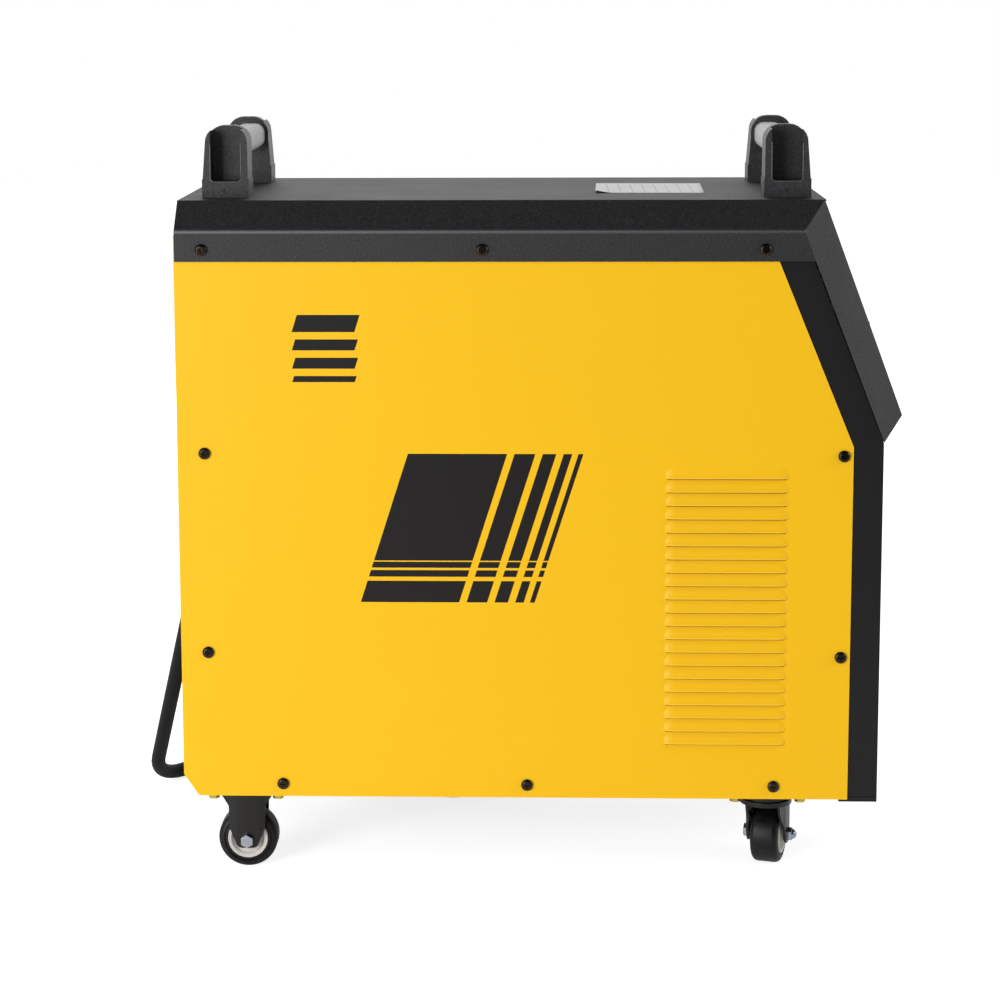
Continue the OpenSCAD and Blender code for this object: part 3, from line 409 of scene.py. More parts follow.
# Outlines of the tread and the core: places along the axle and radii, in
# millimetres, for one half, and then the same for the other half
shoulder_y, shoulder_z, shoulder_r = 7, 20.1, 4.9
tread_outline = [(-10.4, 17), (-11.4, 17.5), (-11.5, 18.9), (-11.1, 19.4), (-11.7, 20)]
for a in range(0, 91, 15):
    tread_outline.append((-shoulder_y - shoulder_r * math.cos(math.radians(a)),
                          shoulder_z + shoulder_r * math.sin(math.radians(a))))
core_outline = [(-14, 3.06), (-14, 6.3), (-13.4, 7), (-9.2, 7.4), (-9, 8.2), (-9, 12.6),
                (-9.8, 13.2), (-11.6, 13.6), (-12.2, 14), (-12.4, 14.6), (-12, 15.1),
                (-12, 15.5), (-12.4, 16), (-12.3, 16.5), (-11.6, 16.9), (-10.4, 17)]
for outline in (tread_outline, core_outline):
    outline += [(-y, r) for y, r in reversed(outline)]


def link(name, mesh, finish, body, slot, *stands_for):
    """Puts a finished mesh in the scene as a piece that rides on a body."""
    piece = bpy.data.objects.new(name, mesh)
    scene.collection.objects.link(piece)
    mesh.materials.append(finish.material)
    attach(piece, body)
    if stands_for:
        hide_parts(*stands_for)
    return piece


def as_mesh(name, built, smooth=False):
    """The mesh of a built form, with smooth or flat faces."""
    for face in built.faces:
        face.smooth = smooth
    mesh = bpy.data.meshes.new(name)
    built.to_mesh(mesh)
    built.free()
    return mesh


def turned(name, outline, centre, axis, steps=72):
    """A closed turned form: outline gives places along the axis and radii, in millimetres."""
    axis = Vector(axis).normalized()
    side = axis.cross(Vector((0, 0, 1))).normalized()
    up = side.cross(axis)
    built = bmesh.new()
    rings = []
    for i in range(steps):
        a = math.tau * i / steps
        out = side * math.cos(a) + up * math.sin(a)
        rings.append([built.verts.new(centre + (axis * y + out * r) * mm) for y, r in outline])
    n = len(outline)
    for i in range(steps):
        here, after = rings[i], rings[(i + 1) % steps]
        for k in range(n):
            built.faces.new((here[k], here[(k + 1) % n], after[(k + 1) % n], after[k]))
    bmesh.ops.recalc_face_normals(built, faces=built.faces)
    mesh = as_mesh(name, built, smooth=True)
    mesh.set_sharp_from_angle(angle=math.radians(50))
    return mesh


wheel_r = 25 * mm
for wheel in ("rear_wheel_right", "rear_wheel_left", "front_wheel_right", "front_wheel_left"):
    low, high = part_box(wheel)
    spin = next(j for j in frame["joints"] if j["child"] == wheel)
    centre = Vector(((low.x + high.x) / 2, (low.y + high.y) / 2, low.z + wheel_r))
    for part, outline, finish in (("_tread", tread_outline, tread_black),
                                  ("_core", core_outline, core_white)):
        link(wheel + part, turned(wheel + part, outline, centre, spin["axis"]),
             finish, wheel, "wheel_black", wheel)

# ------------------------------------------------------ power electronics
# The transformer stands on the tray. Above it a zinc shelf carries two
# finned heat sinks, the inverter board and its capacitors.

lamination = Finish("lamination", tint(70, 66, 62), 0.5, Metallic=0.6)
sheets_per_m = 2000
_, _, core_z = lamination.xyz()
lamination.relief((core_z * sheets_per_m).wave(), 0.0001)
lamination.feed({"Roughness": 0.4 + lamination.grain(0.01) * 0.3})

enamel = Finish("enamel", tint(160, 82, 44), 0.3, Metallic=0.7)
wires_per_m = 450
_, _, winding_z = enamel.xyz()
enamel.relief((winding_z * wires_per_m).wave(), 0.0003)
copper = enamel.blend(enamel.grain(0.01), tint(150, 74, 40), tint(176, 98, 56))
enamel.feed({"Base Color": copper})

sink_alloy = Finish("sink_alloy", tint(188, 190, 194), 0.38, Metallic=1.0)
drawn = sink_alloy.grain(0.0008, 3, scale=(0.04, 1, 1))
sink_alloy.feed({"Roughness": 0.28 + drawn * 0.22})
sink_alloy.relief(drawn, 0.00003)

solder_mask = tint(20, 78, 44)
pads_per_m, track_width = 160, 0.06
board_green = Finish("board_green", solder_mask, 0.35)
pads = board_green.node("ShaderNodeTexVoronoi", {"feature": "DISTANCE_TO_EDGE"},
                        {"Vector": board_green.place(), "Scale": pads_per_m})
tracks = board_green.blend(pads < track_width, solder_mask, tint(36, 112, 66))
board_green.feed({"Base Color": tracks})
board_green.relief(pads > track_width, 0.00004)

sleeve_blue = moulding("sleeve_blue", tint(28, 36, 92), 0.28)
zinc_sheet = plating("zinc_sheet", tint(170, 172, 172), 0.42)
dress("inner_shelf", zinc_sheet, 0.0003)
dress("transformer_core", lamination, 0.0005)
dress("transformer_winding", enamel, 0.004)
dress("heat_sinks", sink_alloy, 0)
dress("inverter_board", board_green, 0)

# The control board lies behind the sloping front. Its bushes are bare metal
# where they reach the slope.
slope_tilt = math.radians(20.47)
slope_top = Vector((0.2303, 0, 0.565))
slope_out = Vector((math.cos(slope_tilt), 0, math.sin(slope_tilt)))
bush_foot = slope_out.dot(slope_top) - 24 * mm
control_green = Finish("control_green", solder_mask, 0.35)
board_x, _, board_z = control_green.xyz()
bush = board_x * slope_out.x + board_z * slope_out.z > bush_foot
control_green.feed({"Base Color": control_green.blend(bush, solder_mask, tint(150, 152, 156)),
                    "Metallic": bush, "Roughness": 0.3 + control_green.grain(0.004) * 0.15})
dress("control_board", control_green, 0)
dress("capacitor_bank", sleeve_blue, 0.001)

# ---------------------------------------------------------- compressed air
# Air comes in at a brass barb in the back, and runs through a blue hose to
# the solenoid valve. The regulator sits behind the front recess.


def turned_brass(name, colour):
    """Turned brass: rings from the tool, and clouds of tarnish."""
    finish = Finish(name, colour, 0.28, Metallic=1.0)
    clouds = finish.grain(0.006, 4)
    tarnished = tuple(c * 0.72 for c in colour)
    finish.feed({"Base Color": finish.blend(clouds, colour, tarnished),
                 "Roughness": 0.2 + clouds * 0.2})
    finish.relief(finish.grain(0.0004, 2), 0.00003)
    return finish


brass = turned_brass("brass", tint(206, 172, 92))
cast_alloy = moulding("cast_alloy", tint(150, 152, 156), pores=0.0007, depth=0.0001)
cast_alloy.feed({"Metallic": 0.9})
blue_hose = sheath("blue_hose", tint(34, 74, 160))
dress("gas_valve", brass, 0.0006)
dress("air_inlet", brass, 0.0003)
dress("air_hose", blue_hose, 0)
dress("air_regulator", cast_alloy, 0.0008)

# ------------------------------------------------------ back of the case
# The rear panel is set deep between the sides. It carries the fan with its
# wire guard, the breaker, the cable entry, the air inlet and the earth stud.

satin_black = coating("satin_black", tint(19, 18, 20), 0.55, peel=0.0011, speckle=0.12, gloss=0.3)
wire_zinc = plating("wire_zinc", tint(176, 178, 180), 0.25)
pale_grey = moulding("pale_grey", tint(206, 206, 202), 0.35)
dress("rear_panel", satin_black, 0.0003)
dress("cable_entry", satin_black, 0.0008)
dress("fan_frame", black_nylon)
dress("fan_rotor", black_nylon)
dress("fan_grille", wire_zinc, 0)
dress("breaker", pale_grey, 0.0006)
dress("breaker_lever", black_nylon, 0.0008)
dress("earth_stud", bright_zinc, 0.0003)


def thin_plate(name, centre, across, up, width, height, thick, corner):
    """A flat plate with round corners, centred on its back. Measures are in millimetres."""
    across, up = Vector(across).normalized(), Vector(up).normalized()
    out = across.cross(up)
    rim = []
    for quarter, (east, north) in enumerate(((1, 1), (-1, 1), (-1, -1), (1, -1))):
        for step in range(0, 91, 18):
            a = math.radians(90 * quarter) + math.radians(step)
            u = (width / 2 - corner) * east + corner * math.cos(a)
            v = (height / 2 - corner) * north + corner * math.sin(a)
            rim.append(centre + (across * u + up * v) * mm)
    built = bmesh.new()
    face = built.faces.new([built.verts.new(place) for place in rim])
    grown = bmesh.ops.extrude_face_region(built, geom=[face])
    for vert in (v for v in grown["geom"] if isinstance(v, bmesh.types.BMVert)):
        vert.co += out * thick * mm
    bmesh.ops.recalc_face_normals(built, faces=built.faces)
    return as_mesh(name, built)


# A blank aluminium plate, held by its own glue, with ruled lines and empty fields
bare_alloy = tint(190, 191, 193)
plate_alloy = plating("plate_alloy", bare_alloy, 0.4)
rule_pitch, rule_share = 6 * mm, 0.07
_, _, plate_z = plate_alloy.xyz()
rules = (plate_z * (1 / rule_pitch)).fract() < rule_share
plate_alloy.feed({"Base Color": plate_alloy.blend(rules, bare_alloy, tint(60, 60, 62))})
plate_back = Vector((-0.24512, -0.104, 0.142))
link("rear_plate", thin_plate("rear_plate", plate_back, (0, -1, 0), (0, 0, 1), 62, 42, 0.6, 3),
     plate_alloy, "chassis", "sink_alloy")

# ----------------------------------------------------------- side panels
# Flat steel sheets with a warm yellow coat. Near the front each has a bank
# of pressed louvres that open downwards. The print is plain slanted bars.

panel_low, panel_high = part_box("side_panel_right")
louvre_n = 21
louvre_pitch = 11.14 * mm
louvre_x0 = 102.4 * mm
louvre_l = 100 * mm
louvre_z0 = 117.3 * mm
louvre_h = 10.4 * mm
louvre_out = 3.6 * mm
louvre_end = 9 * mm
sheet = 1.2 * mm
panel_y = 152.3 * mm
knee_x, knee_z, edge_lean = 254.5 * mm, 366 * mm, 0.411
panel_outline = [(panel_low.x + 12.4 * mm, panel_low.z), (knee_x, panel_low.z), (knee_x, knee_z),
                 (knee_x - (panel_high.z - knee_z) * edge_lean, panel_high.z),
                 (panel_low.x, panel_high.z), (panel_low.x, panel_low.z + 18.5 * mm)]
# Places across a louvre, closer together where its ends curve
louvre_across = [louvre_end * (1 - math.cos(math.radians(a))) for a in range(0, 91, 9)]
louvre_across += [louvre_l / 2]
louvre_across += [louvre_l - x for x in reversed(louvre_across[:-1])]
louvre_down = [i / 10 for i in range(11)]


def louvre_height(across, share):
    """How far a louvre stands out at a place across it and a share of the way down it."""
    inset = min(across, louvre_l - across, louvre_end) / louvre_end
    swell = math.sqrt(max(0, 1 - (1 - inset) ** 2))
    top = 1 - swell
    if share <= top or swell == 0:
        return 0
    t = (share - top) / (1 - top)
    rise = 0.16 * t + 0.62 * eased(t, -0.15, 1.25) + 0.22 * eased(t, 0.72, 1)
    return louvre_out * swell * rise


def louvred_sheet(name, side):
    """The whole side sheet as one pressed skin, with its louvres let into it."""
    built = bmesh.new()
    known = {}

    def vert(x, out, z):
        key = (round(x, 6), round(out, 6), round(z, 6))
        if key not in known:
            known[key] = built.verts.new((x, side * (panel_y + out), z))
        return known[key]

    def ring(points):
        corners = [vert(x, 0, z) for x, z in points]
        return [built.edges.new((a, b)) for a, b in zip(corners, corners[1:] + corners[:1])]

    flat = ring(panel_outline)
    for i in range(louvre_n):
        base = louvre_z0 + i * louvre_pitch
        rim = [(louvre_x0, base)]
        rim += [(louvre_x0, base + louvre_h * (1 - s)) for s in reversed(louvre_down[:-1])]
        rim += [(louvre_x0 + across, base + louvre_h) for across in louvre_across[1:]]
        rim += [(louvre_x0 + louvre_l, base + louvre_h * (1 - s)) for s in louvre_down[1:]]
        flat += ring(rim)
    bmesh.ops.triangle_fill(built, use_beauty=True, edges=flat)
    for i in range(louvre_n):
        base = louvre_z0 + i * louvre_pitch
        for a, b in zip(louvre_across, louvre_across[1:]):
            for s, t in zip(louvre_down, louvre_down[1:]):
                corners = []
                for across, share in ((a, s), (b, s), (b, t), (a, t)):
                    z = base + louvre_h * (1 - share)
                    corners.append(vert(louvre_x0 + across, louvre_height(across, share), z))
                built.faces.new(corners)
    bmesh.ops.recalc_face_normals(built, faces=built.faces)
    outwards = Vector((0, side, 0))
    if sum(face.normal.dot(outwards) * face.calc_area() for face in built.faces) < 0:
        bmesh.ops.reverse_faces(built, faces=built.faces)
    return as_mesh(name, built, smooth=True)


warm_yellow = tint(251, 196, 10)
print_black = tint(23, 20, 20)
panel_yellow = Finish("panel_yellow", warm_yellow, 0.42, Specular_IOR_Level=0.3)
case_x, case_y, case_z = panel_yellow.xyz()
left_side = case_y > 0
# The print is the same on the left side, so it runs the other way along the case
print_x = case_x * (1 - 2 * left_side) - left_side * (110 * mm)
bar_slant = 0.32


def slanted_bar(low, high, start, end):
    """1 inside a slanted bar between two heights and two places along its foot."""
    along = print_x - (case_z - low * mm) * bar_slant
    return case_z.within(low * mm, high * mm) * along.within(start * mm, end * mm)


# The large print: a solid block, thin lines through its foot, and bars that thin out
bars = [(-147, -66), (-60, -43), (-37, -26), (-20, -13), (-8, -4)]
print_mask = sum(slanted_bar(236, 360, start, end) for start, end in bars)
for low, high in ((254, 257.5), (263, 265), (270, 271)):
    print_mask = print_mask * (1 - slanted_bar(low, high, -300, 300))
# The small print near the top: four lines, the lowest one thin
lines = [(419, 424), (430, 439), (445, 454), (460, 474)]
print_mask = print_mask + sum(slanted_bar(low, high, -201, -150) for low, high in lines)
clouds = panel_yellow.grain(0.12, 2)
skin = panel_yellow.grain(0.0011, 2)
yellow = panel_yellow.blend(clouds * 0.5, warm_yellow, tint(249, 192, 8))
# A painted shadow darkens the strip under each louvre's lip, and a painted highlight lightens the
# lip itself
rung = ((case_z - louvre_z0) * (1 / louvre_pitch) + 1).fract()
bank_top = louvre_z0 + (louvre_n - 0.5) * louvre_pitch
on_louvres = case_x.within(louvre_x0 + 1.5 * mm, louvre_x0 + louvre_l - 1.5 * mm)
on_louvres = on_louvres * case_z.within(louvre_z0 - 1.4 * mm, bank_top)
painted_lip_shadow = (rung > 0.885) * on_louvres
painted_lip_highlight = (rung < 0.07) * (case_z > louvre_z0) * on_louvres
yellow = panel_yellow.blend(painted_lip_highlight * 0.5, yellow, tint(255, 216, 84))
yellow = panel_yellow.blend(painted_lip_shadow * 0.85, yellow, tint(150, 92, 6))
panel_yellow.feed({"Base Color": panel_yellow.blend(print_mask, yellow, print_black),
                   "Roughness": 0.4 + clouds * 0.06 + print_mask * 0.1})
panel_yellow.relief(skin, 0.00003)

for side, word in ((-1, "right"), (1, "left")):
    panel = link("side_sheet_" + word, louvred_sheet("side_sheet_" + word, side), panel_yellow,
                 "chassis", "panel_yellow", "side_panel_" + word)
    thick = panel.modifiers.new("sheet", "SOLIDIFY")
    thick.thickness = sheet
    thick.offset = -1
    edges = panel.modifiers.new("eased_edges", "BEVEL")
    edges.width = 0.3 * mm
    edges.segments = 2
    edges.angle_limit = math.radians(55)
    panel.modifiers.new("flat_faces", "WEIGHTED_NORMAL")

# ------------------------------------------------------------- top cover
# One folded cover in charcoal textured coat: the top, two bevels, two side
# flanges and the sloping front with its opening.

cover_dark = tint(16, 16, 19)
cover_grey = coating("cover_grey", cover_dark, 0.6, peel=0.0016, depth=0.0003, gloss=0.7)
cover_x, _, cover_z = cover_grey.xyz()
# A painted highlight runs along the fold over each side flange, brighter towards the back
fold_z, fold_soft, fold_end = 541.4 * mm, 1.9 * mm, 214 * mm
over_fold = (cover_z - fold_z) * (1 / fold_soft)
fold_highlight_band = (1 - over_fold.math("ABSOLUTE", over_fold)).clamped() * (cover_x < fold_end)
speckle = ((cover_grey.grain(0.0013, 2) - 0.42) * 4).clamped()
speckled = cover_grey.blend(speckle, cover_dark, tint(42, 42, 46))
painted_fold_highlight = cover_grey.blend(fold_highlight_band * (0.5 - cover_x * 1.1), speckled, tint(118, 118, 124))
cover_grey.feed({"Base Color": painted_fold_highlight})
dress("top_cover", cover_grey, 0.0012)

# A blank ruled label of grey film on the top, with one corner that has come up
label_x, label_y, label_l, label_w = 93 * mm, -3 * mm, 91 * mm, 110 * mm
top_z = cad_box[1].z - 58.5 * mm
label_n = 24
label_skew = math.tan(math.radians(1.5))
curl_reach, curl_rise = 0.2, 2.2 * mm
built = bmesh.new()
grid = []
for i in range(label_n + 1):
    row = []
    for k in range(label_n + 1):
        x, y = i / label_n, k / label_n
        curl = max(0, 1 - math.hypot(x, y) / curl_reach) ** 2
        along, aside = (x - 0.5) * label_l, (y - 0.5) * label_w
        row.append(built.verts.new((label_x + along + aside * label_skew + curl * mm,
                                    label_y + aside - along * label_skew + curl * mm,
                                    top_z + 0.25 * mm + curl * curl_rise)))
    grid.append(row)
for i in range(label_n):
    for k in range(label_n):
        built.faces.new((grid[i][k], grid[i + 1][k], grid[i + 1][k + 1], grid[i][k + 1]))
label_mesh = as_mesh("top_label", built, smooth=True)
film_grey = tint(232, 228, 232)
grey_film = Finish("grey_film", film_grey, 0.4)
film_x, film_y, _ = grey_film.xyz()
share_x = (film_x - (label_x - label_l / 2)) * (1 / label_l)
share_y = (film_y - (label_y - label_w / 2)) * (1 / label_w)
columns, rows = 9, 12
inked = ((share_x * columns).fract() < 0.06) + ((share_y * rows).fract() < 0.12) * 0.5
inside = share_x.within(0.05, 0.95) * share_y.within(0.05, 0.95)
ruled_film = grey_film.blend(inked * inside * 0.6, film_grey, tint(110, 104, 106))
grey_film.feed({"Base Color": ruled_film, "Roughness": 0.34 + grey_film.grain(0.02) * 0.15})
top_label = link("top_label", label_mesh, grey_film, "chassis", "cover_grey")
film = top_label.modifiers.new("film", "SOLIDIFY")
film.thickness = 0.15 * mm

# --------------------------------------------- front and control panels
# The front sheet and its recessed socket tray are satin black. The control
# panel sits inside the slope, with a dark window, printed scale and lamps.

dress("front_panel", satin_black, 0.0004)
dress("connector_panel", satin_black, 0.0006)
dress("control_panel", satin_black, 0.0003)
window = Finish("window", tint(30, 8, 10), 0.08, Specular_IOR_Level=0.25)
window.feed({"Roughness": 0.06 + window.grain(0.01) * 0.05})
dress("display_window", window, 0.0006)
knob_dark = tint(26, 26, 28)
ribbed_black = moulding("ribbed_black", knob_dark, 0.4)
dress("regulator_knob", ribbed_black, 0.0004)
dress("work_socket", ribbed_black, 0.0005)
dress("torch_socket", brass, 0.0005)
dress("aux_socket", bright_zinc, 0.0003)
dress("mode_switch", bright_zinc, 0)
dress("test_switch", bright_zinc, 0)
button_green = moulding("button_green", tint(28, 122, 66), 0.3)
dress("air_button", button_green, 0.0006)
chrome = plating("chrome", tint(216, 217, 220), 0.12)
dress("pressure_gauge", chrome, 0.0006)


# The slope's directions: up it and across it
slope_up = Vector((-math.sin(slope_tilt), 0, math.cos(slope_tilt)))
slope_across = Vector((0, 1, 0))


def on_slope(out, y, down):
    """A place on the slope, in millimetres out of it, across it and down from its top edge."""
    return slope_top + (slope_out * out + slope_across * y - slope_up * down) * mm


def flat_shapes(name, shapes, centre, across, up, thick):
    """Thin raised shapes on a face. Each is a list of places across and up, in millimetres."""
    out = across.cross(up)
    built = bmesh.new()
    for shape in shapes:
        low = [built.verts.new(centre + (across * u + up * v) * mm) for u, v in shape]
        high = [built.verts.new(vert.co + out * thick * mm) for vert in low]
        built.faces.new(high)
        built.faces.new(list(reversed(low)))
        for i in range(len(shape)):
            k = (i + 1) % len(shape)
            built.faces.new((low[i], low[k], high[k], high[i]))
    bmesh.ops.recalc_face_normals(built, faces=built.faces)
    return as_mesh(name, built)


def turned_by(a, shape):
    """A flat shape turned clockwise by a degrees."""
    sine, cosine = math.sin(math.radians(a)), math.cos(math.radians(a))
    return [(u * cosine + v * sine, v * cosine - u * sine) for u, v in shape]


def tick(a, inner, outer, half):
    """A tick on a dial at angle a, clockwise from the top, in degrees."""
    corners = [(-half, inner), (-half, outer), (half, outer), (half, inner)]
    return turned_by(a, corners)


def numbers(name, texts, radius, size, centre, across, up, finish, body):
    """Printed numbers round a dial. Each has its angle, in degrees clockwise from the top."""
    out = across.cross(up)
    facing = Matrix((across, up, out)).transposed().to_4x4()
    for text, degrees in texts:
        a = math.radians(degrees)
        place = centre + (across * math.sin(a) + up * math.cos(a)) * radius * mm
        words = bpy.data.curves.new(name + "_" + text, "FONT")
        words.body = text
        words.size = size * mm
        words.align_x = "CENTER"
        words.align_y = "CENTER"
        words.extrude = 0.03 * mm
        words.materials.append(finish.material)
        piece = bpy.data.objects.new(name + "_" + text, words)
        scene.collection.objects.link(piece)
        piece.matrix_world = Matrix.Translation(place) @ facing
        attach(piece, body)


def ink(name, colour):
    """Screen print: nearly flat, a little worn in places."""
    finish = Finish(name, colour, 0.5)
    wear = finish.grain(0.002, 3) > 0.66
    worn = tuple(c * 0.5 for c in colour)
    finish.feed({"Base Color": finish.blend(wear * 0.4, colour, worn)})
    return finish


ink_white = tint(214, 214, 210)
white_ink = ink("white_ink", ink_white)

# The knob's pointer is a short groove in its face, filled with the same white
knob_down = 116
knob_black = moulding("knob_black", knob_dark, 0.4)
knob_x, knob_y, knob_z = knob_black.xyz()
knob_middle = slope_up.dot(on_slope(-7.7, 0, knob_down))
off_middle = knob_x * slope_up.x + knob_z * slope_up.z - knob_middle
in_groove = off_middle.within(10.8 * mm, 16.2 * mm) * knob_y.within(-0.85 * mm, 0.85 * mm)
knob_black.feed({"Base Color": knob_black.blend(in_groove, knob_dark, ink_white)})
dress("current_knob", knob_black, 0.0004)

# Printed scale round the current knob: eleven ticks, and amperes at every other one
dial_start, dial_end = -135, 135
knob_face = on_slope(-7.98, 0, knob_down)
knob_step = (dial_end - dial_start) / 10
knob_ticks = [tick(dial_start + knob_step * i, 21, 23 if i % 2 else 24.5, 0.35)
              for i in range(11)]
link("knob_scale", flat_shapes("knob_scale", knob_ticks, knob_face, slope_across, slope_up, 0.05),
     white_ink, "chassis", "front_black")
amperes = [(str(20 + 10 * i), dial_start + 2 * knob_step * i) for i in range(6)]
numbers("knob_number", amperes, 29, 6, knob_face, slope_across, slope_up,
        white_ink, "chassis")

# Three lamps: domes of clear green, amber and red plastic
dome_outline = [(-5, 0.05), (-5, 2.4), (0.4, 2.4), (1.3, 2.1), (2, 1.5), (2.4, 0.8), (2.5, 0.05)]
for word, colour, y in (("green", tint(40, 150, 70), -100), ("amber", tint(222, 150, 30), -82),
                        ("red", tint(190, 34, 28), -64)):
    name = "lamp_dome_" + word
    dome = Finish("lamp_" + word, colour, 0.12, Coat_Weight=0.4)
    dome.feed({"Roughness": 0.1 + dome.grain(0.002) * 0.08})
    link(name, turned(name, dome_outline, on_slope(-8, y, 58), slope_out, 32),
         dome, "chassis", "front_black")

# Unlit digits behind the window, each of seven bars
lying_bar = [(-3.4, 0), (-2.8, 0.7), (2.8, 0.7), (3.4, 0), (2.8, -0.7), (-2.8, -0.7)]
standing_bar = [(b, a) for a, b in lying_bar]
digit_lean = 0.12
digit_bars = []
for digit_y in (-17, 0, 17):
    for bar, places in ((lying_bar, ((0, 8), (0, 0), (0, -8))),
                        (standing_bar, ((-4, 4), (4, 4), (-4, -4), (4, -4)))):
        for u, v in places:
            digit_bars.append([(digit_y + u + a + v * digit_lean, v + b) for a, b in bar])
dark_red = moulding("dark_red", tint(74, 20, 20), 0.3)
digits = flat_shapes("display_digits", digit_bars, on_slope(-6.78, 0, 50),
                     slope_across, slope_up, 0.04)
link("display_digits", digits, dark_red, "chassis", "front_black")

# Dial of the pressure gauge: white enamel, ticks and numbers in bar, and a red needle
gauge_face = Vector((0.2597, 0.062, 0.282))
gauge_out = Vector((1, 0, 0))
upright = Vector((0, 0, 1))
dial_white = moulding("dial_white", tint(232, 231, 226), 0.3)
dial_outline = [(0.02, 0.05), (0.02, 18.8), (0.3, 18.9), (0.3, 0.05)]
link("gauge_dial", turned("gauge_dial", dial_outline, gauge_face, gauge_out, 64),
     dial_white, "chassis", "breaker_grey")


def on_dial(name, shapes, out, thick):
    """Flat shapes that stand out of the gauge's back by out millimetres."""
    place = gauge_face + gauge_out * out * mm
    return flat_shapes(name, shapes, place, slope_across, upright, thick)


dial_ink = ink("dial_ink", tint(24, 24, 26))
gauge_step = (dial_end - dial_start) / 20
gauge_ticks = []
for i in range(21):
    inner, half = (13.4, 0.25) if i % 2 else (12.2, 0.45)
    gauge_ticks.append(tick(dial_start + gauge_step * i, inner, 16.4, half))
link("gauge_ticks", on_dial("gauge_ticks", gauge_ticks, 0.3, 0.04),
     dial_ink, "chassis", "front_black")
pressures = [(str(2 * i), dial_start + 4 * gauge_step * i) for i in range(6)]
numbers("gauge_number", pressures, 9, 3.6, gauge_face + gauge_out * 0.32 * mm,
        slope_across, upright, dial_ink, "chassis")
needle = turned_by(dial_start, [(-0.5, -4.5), (-0.35, 13), (0, 14.5), (0.35, 13), (0.5, -4.5)])
link("gauge_needle", on_dial("gauge_needle", [needle], 0.8, 0.25), plug_red, "chassis", "plug_red")

# ---------------------------------------------------------------- screws
# Pan head screws with a cross recess, in blackened steel. They are M5 on the
# panels and the handle posts, and hold the fan at its four corners.

black_oxide = plating("black_oxide", tint(58, 51, 44), 0.32)
for node in ("panel_screws", "fan_screws", "handle_screws"):
    dress(node, black_oxide, 0.0003)

# --------------------------------------------------------------- handles
# Two lifting handles across the top: each has two hollow posts moulded in
# black glass-filled nylon, and a pale grip held between them.

post_black = moulding("post_black", tint(56, 56, 58), 0.4, pores=0.0012, depth=0.00022)
# The glass fibre shows as faint pale flecks
flecks = ((post_black.grain(0.0013, 2) - 0.42) * 4).clamped()
post_black.feed({"Base Color": post_black.blend(flecks, tint(51, 51, 53), tint(67, 67, 70)),
                 "Specular IOR Level": 0.28})
grip_grey = moulding("grip_grey", tint(186, 182, 184), 0.42)
for end in ("rear", "front"):
    dress(end + "_handle_posts", post_black, 0.0011)
    dress(end + "_handle_grip", grip_grey, 0.0003)

# A fine moulded bead runs down one side of each pocket, along its foot and up again
# The bead is coloured a paler grey than the posts, as a painted highlight along the lit edges of
# the pocket
bead_highlight_grey = moulding("bead_highlight_grey", tint(92, 92, 96), 0.3)
bead_path = [(-12.3, 44), (-12.3, 15), (-10.3, 13), (11.2, 13), (13.2, 15), (13.2, 45)]
for end, turned_round in (("rear", 1), ("front", -1)):
    low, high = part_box(end + "_handle_posts")
    middle = (low.x + high.x) / 2
    beads = bpy.data.curves.new(end + "_handle_beads", "CURVE")
    beads.dimensions = "3D"
    beads.bevel_depth = 0.45 * mm
    beads.bevel_resolution = 3
    for y, turn in ((low.y, turned_round), (high.y, -turned_round)):
        line = beads.splines.new("POLY")
        line.points.add(len(bead_path) - 1)
        for point, (u, v) in zip(line.points, bead_path):
            point.co = (middle + turn * u * mm, y - math.copysign(0.35 * mm, y), top_z + v * mm, 1)
    rim = bpy.data.objects.new(end + "_handle_beads", beads)
    scene.collection.objects.link(rim)
    beads.materials.append(bead_highlight_grey.material)
    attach(rim, "chassis")

# ----------------------------------------------------- floor, light, sky
# A white floor and surround. A broad lamp stands at the left of the camera, a
# weak one at the right and one high at the back. A low one behind the machine
# fills its left side, and shows in no reflection.

floor_mesh = bpy.data.meshes.new("floor")
floor_mesh.from_pydata([(-4, -0.8, 0), (4, -0.8, 0), (4, 8, 0), (-4, 8, 0)], [], [(0, 1, 2, 3)])
floor = bpy.data.objects.new("floor", floor_mesh)
scene.collection.objects.link(floor)
paper = Finish("paper", (0.85, 0.85, 0.85), 0.9, Emission_Strength=1.0)


def ray_kind(wiring, kind):
    """1 for one kind of ray, such as a camera ray, and 0 for the others."""
    return wiring.node("ShaderNodeLightPath", output="Is %s Ray" % kind)


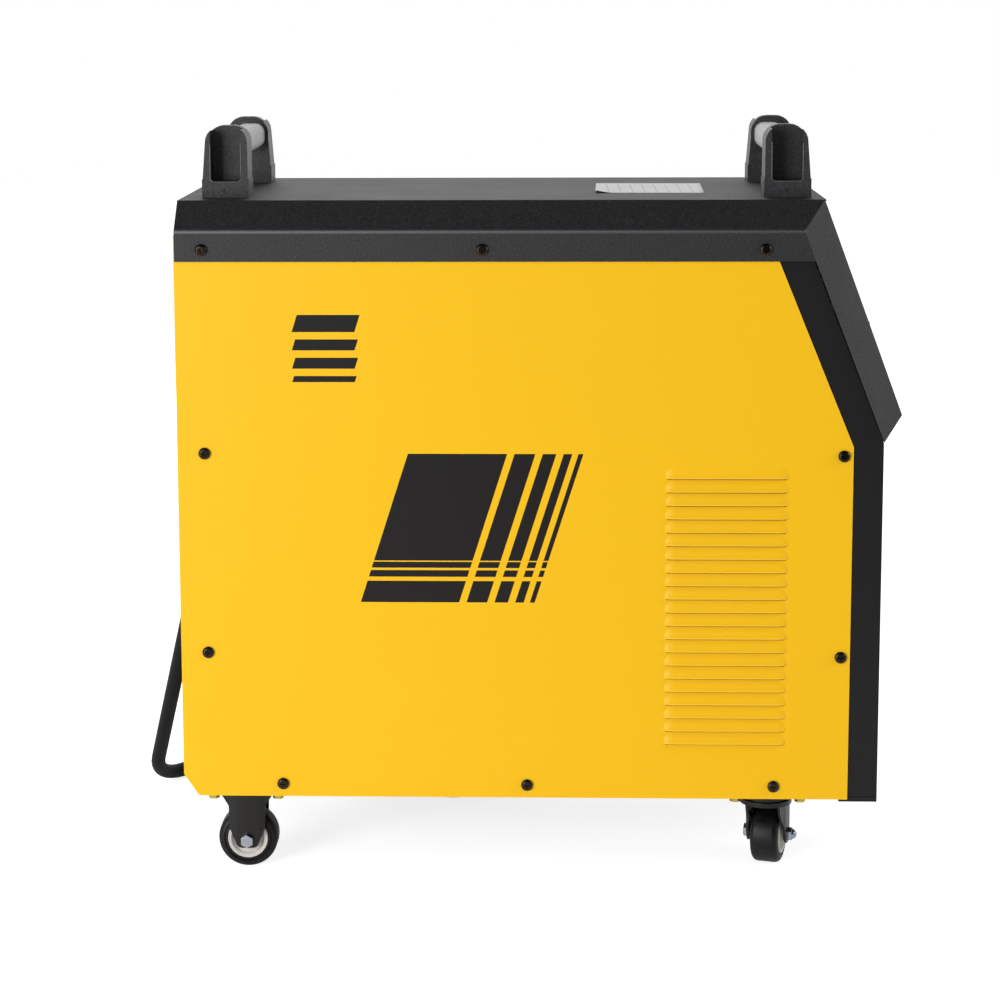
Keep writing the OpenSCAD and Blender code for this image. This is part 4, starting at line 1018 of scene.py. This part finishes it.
seen_directly = ray_kind(paper, "Camera") * 0.78
seen_mirrored = (ray_kind(paper, "Glossy") + ray_kind(paper, "Transmission")) * 0.3
paper.feed({"Emission Color": paper.blend(seen_directly + seen_mirrored, (0, 0, 0), (1, 1, 1))})
floor_mesh.materials.append(paper.material)


def lamp(name, place, target, width, height, power):
    """A soft rectangular lamp that faces target."""
    light = bpy.data.lights.new(name, "AREA")
    light.shape = "RECTANGLE"
    light.size = width
    light.size_y = height
    light.energy = power
    lit = bpy.data.objects.new(name, light)
    scene.collection.objects.link(lit)
    aim = (Vector(target) - Vector(place)).to_track_quat("-Z", "Y")
    lit.matrix_world = Matrix.Translation(place) @ aim.to_matrix().to_4x4()
    return lit


lamp("left_lamp", (-1.6, -2.2, 0.6), (0, 0, 0.35), 1.2, 1.4, 46)
lamp("right_lamp", (2.2, -0.7, 1.1), (0.24, -0.1, 0.45), 0.8, 0.8, 11)
lamp("back_lamp", (-0.4, 2.2, 2.0), (0, 0, 0.4), 1.8, 1.2, 9)
low_lamp = lamp("low_lamp", (-0.6, 2.6, 0.32), (0, 0, 0.3), 1.6, 0.4, 14)
low_lamp.visible_glossy = False

sky = bpy.data.worlds.new("sky")
scene.world = sky
sky.use_nodes = True
air = Wiring(sky.node_tree)


def ramp_between(value, low, high):
    """0 below low, 1 above high, and smooth between them."""
    return air.node("ShaderNodeMapRange", {"interpolation_type": "SMOOTHSTEP"},
                    {"Value": value, "From Min": low, "From Max": high})


heading = air.node("ShaderNodeTexCoord", output="Generated")
behind = air.node("ShaderNodeSeparateXYZ", {}, {0: heading}, output="Y")
above = air.node("ShaderNodeSeparateXYZ", {}, {0: heading}, output="Z")
# The surround is white behind the machine, and dims towards the ceiling and the camera
ceiling = 1 - ramp_between(above, 0.35, 0.9) * 0.9
surround = (0.06 + ramp_between(behind, -0.3, 0.5) * 0.94) * ceiling
daylight = 0.42
plain_white = ray_kind(air, "Camera") + ray_kind(air, "Transmission")
glossy = ray_kind(air, "Glossy")
shone = glossy * surround + (1 - glossy) * daylight
background = sky.node_tree.nodes["Background"]
air.join((1, 1, 1), background.inputs["Color"])
air.join(plain_white + (1 - plain_white) * shone, background.inputs["Strength"])

scene.view_settings.view_transform = "Standard"
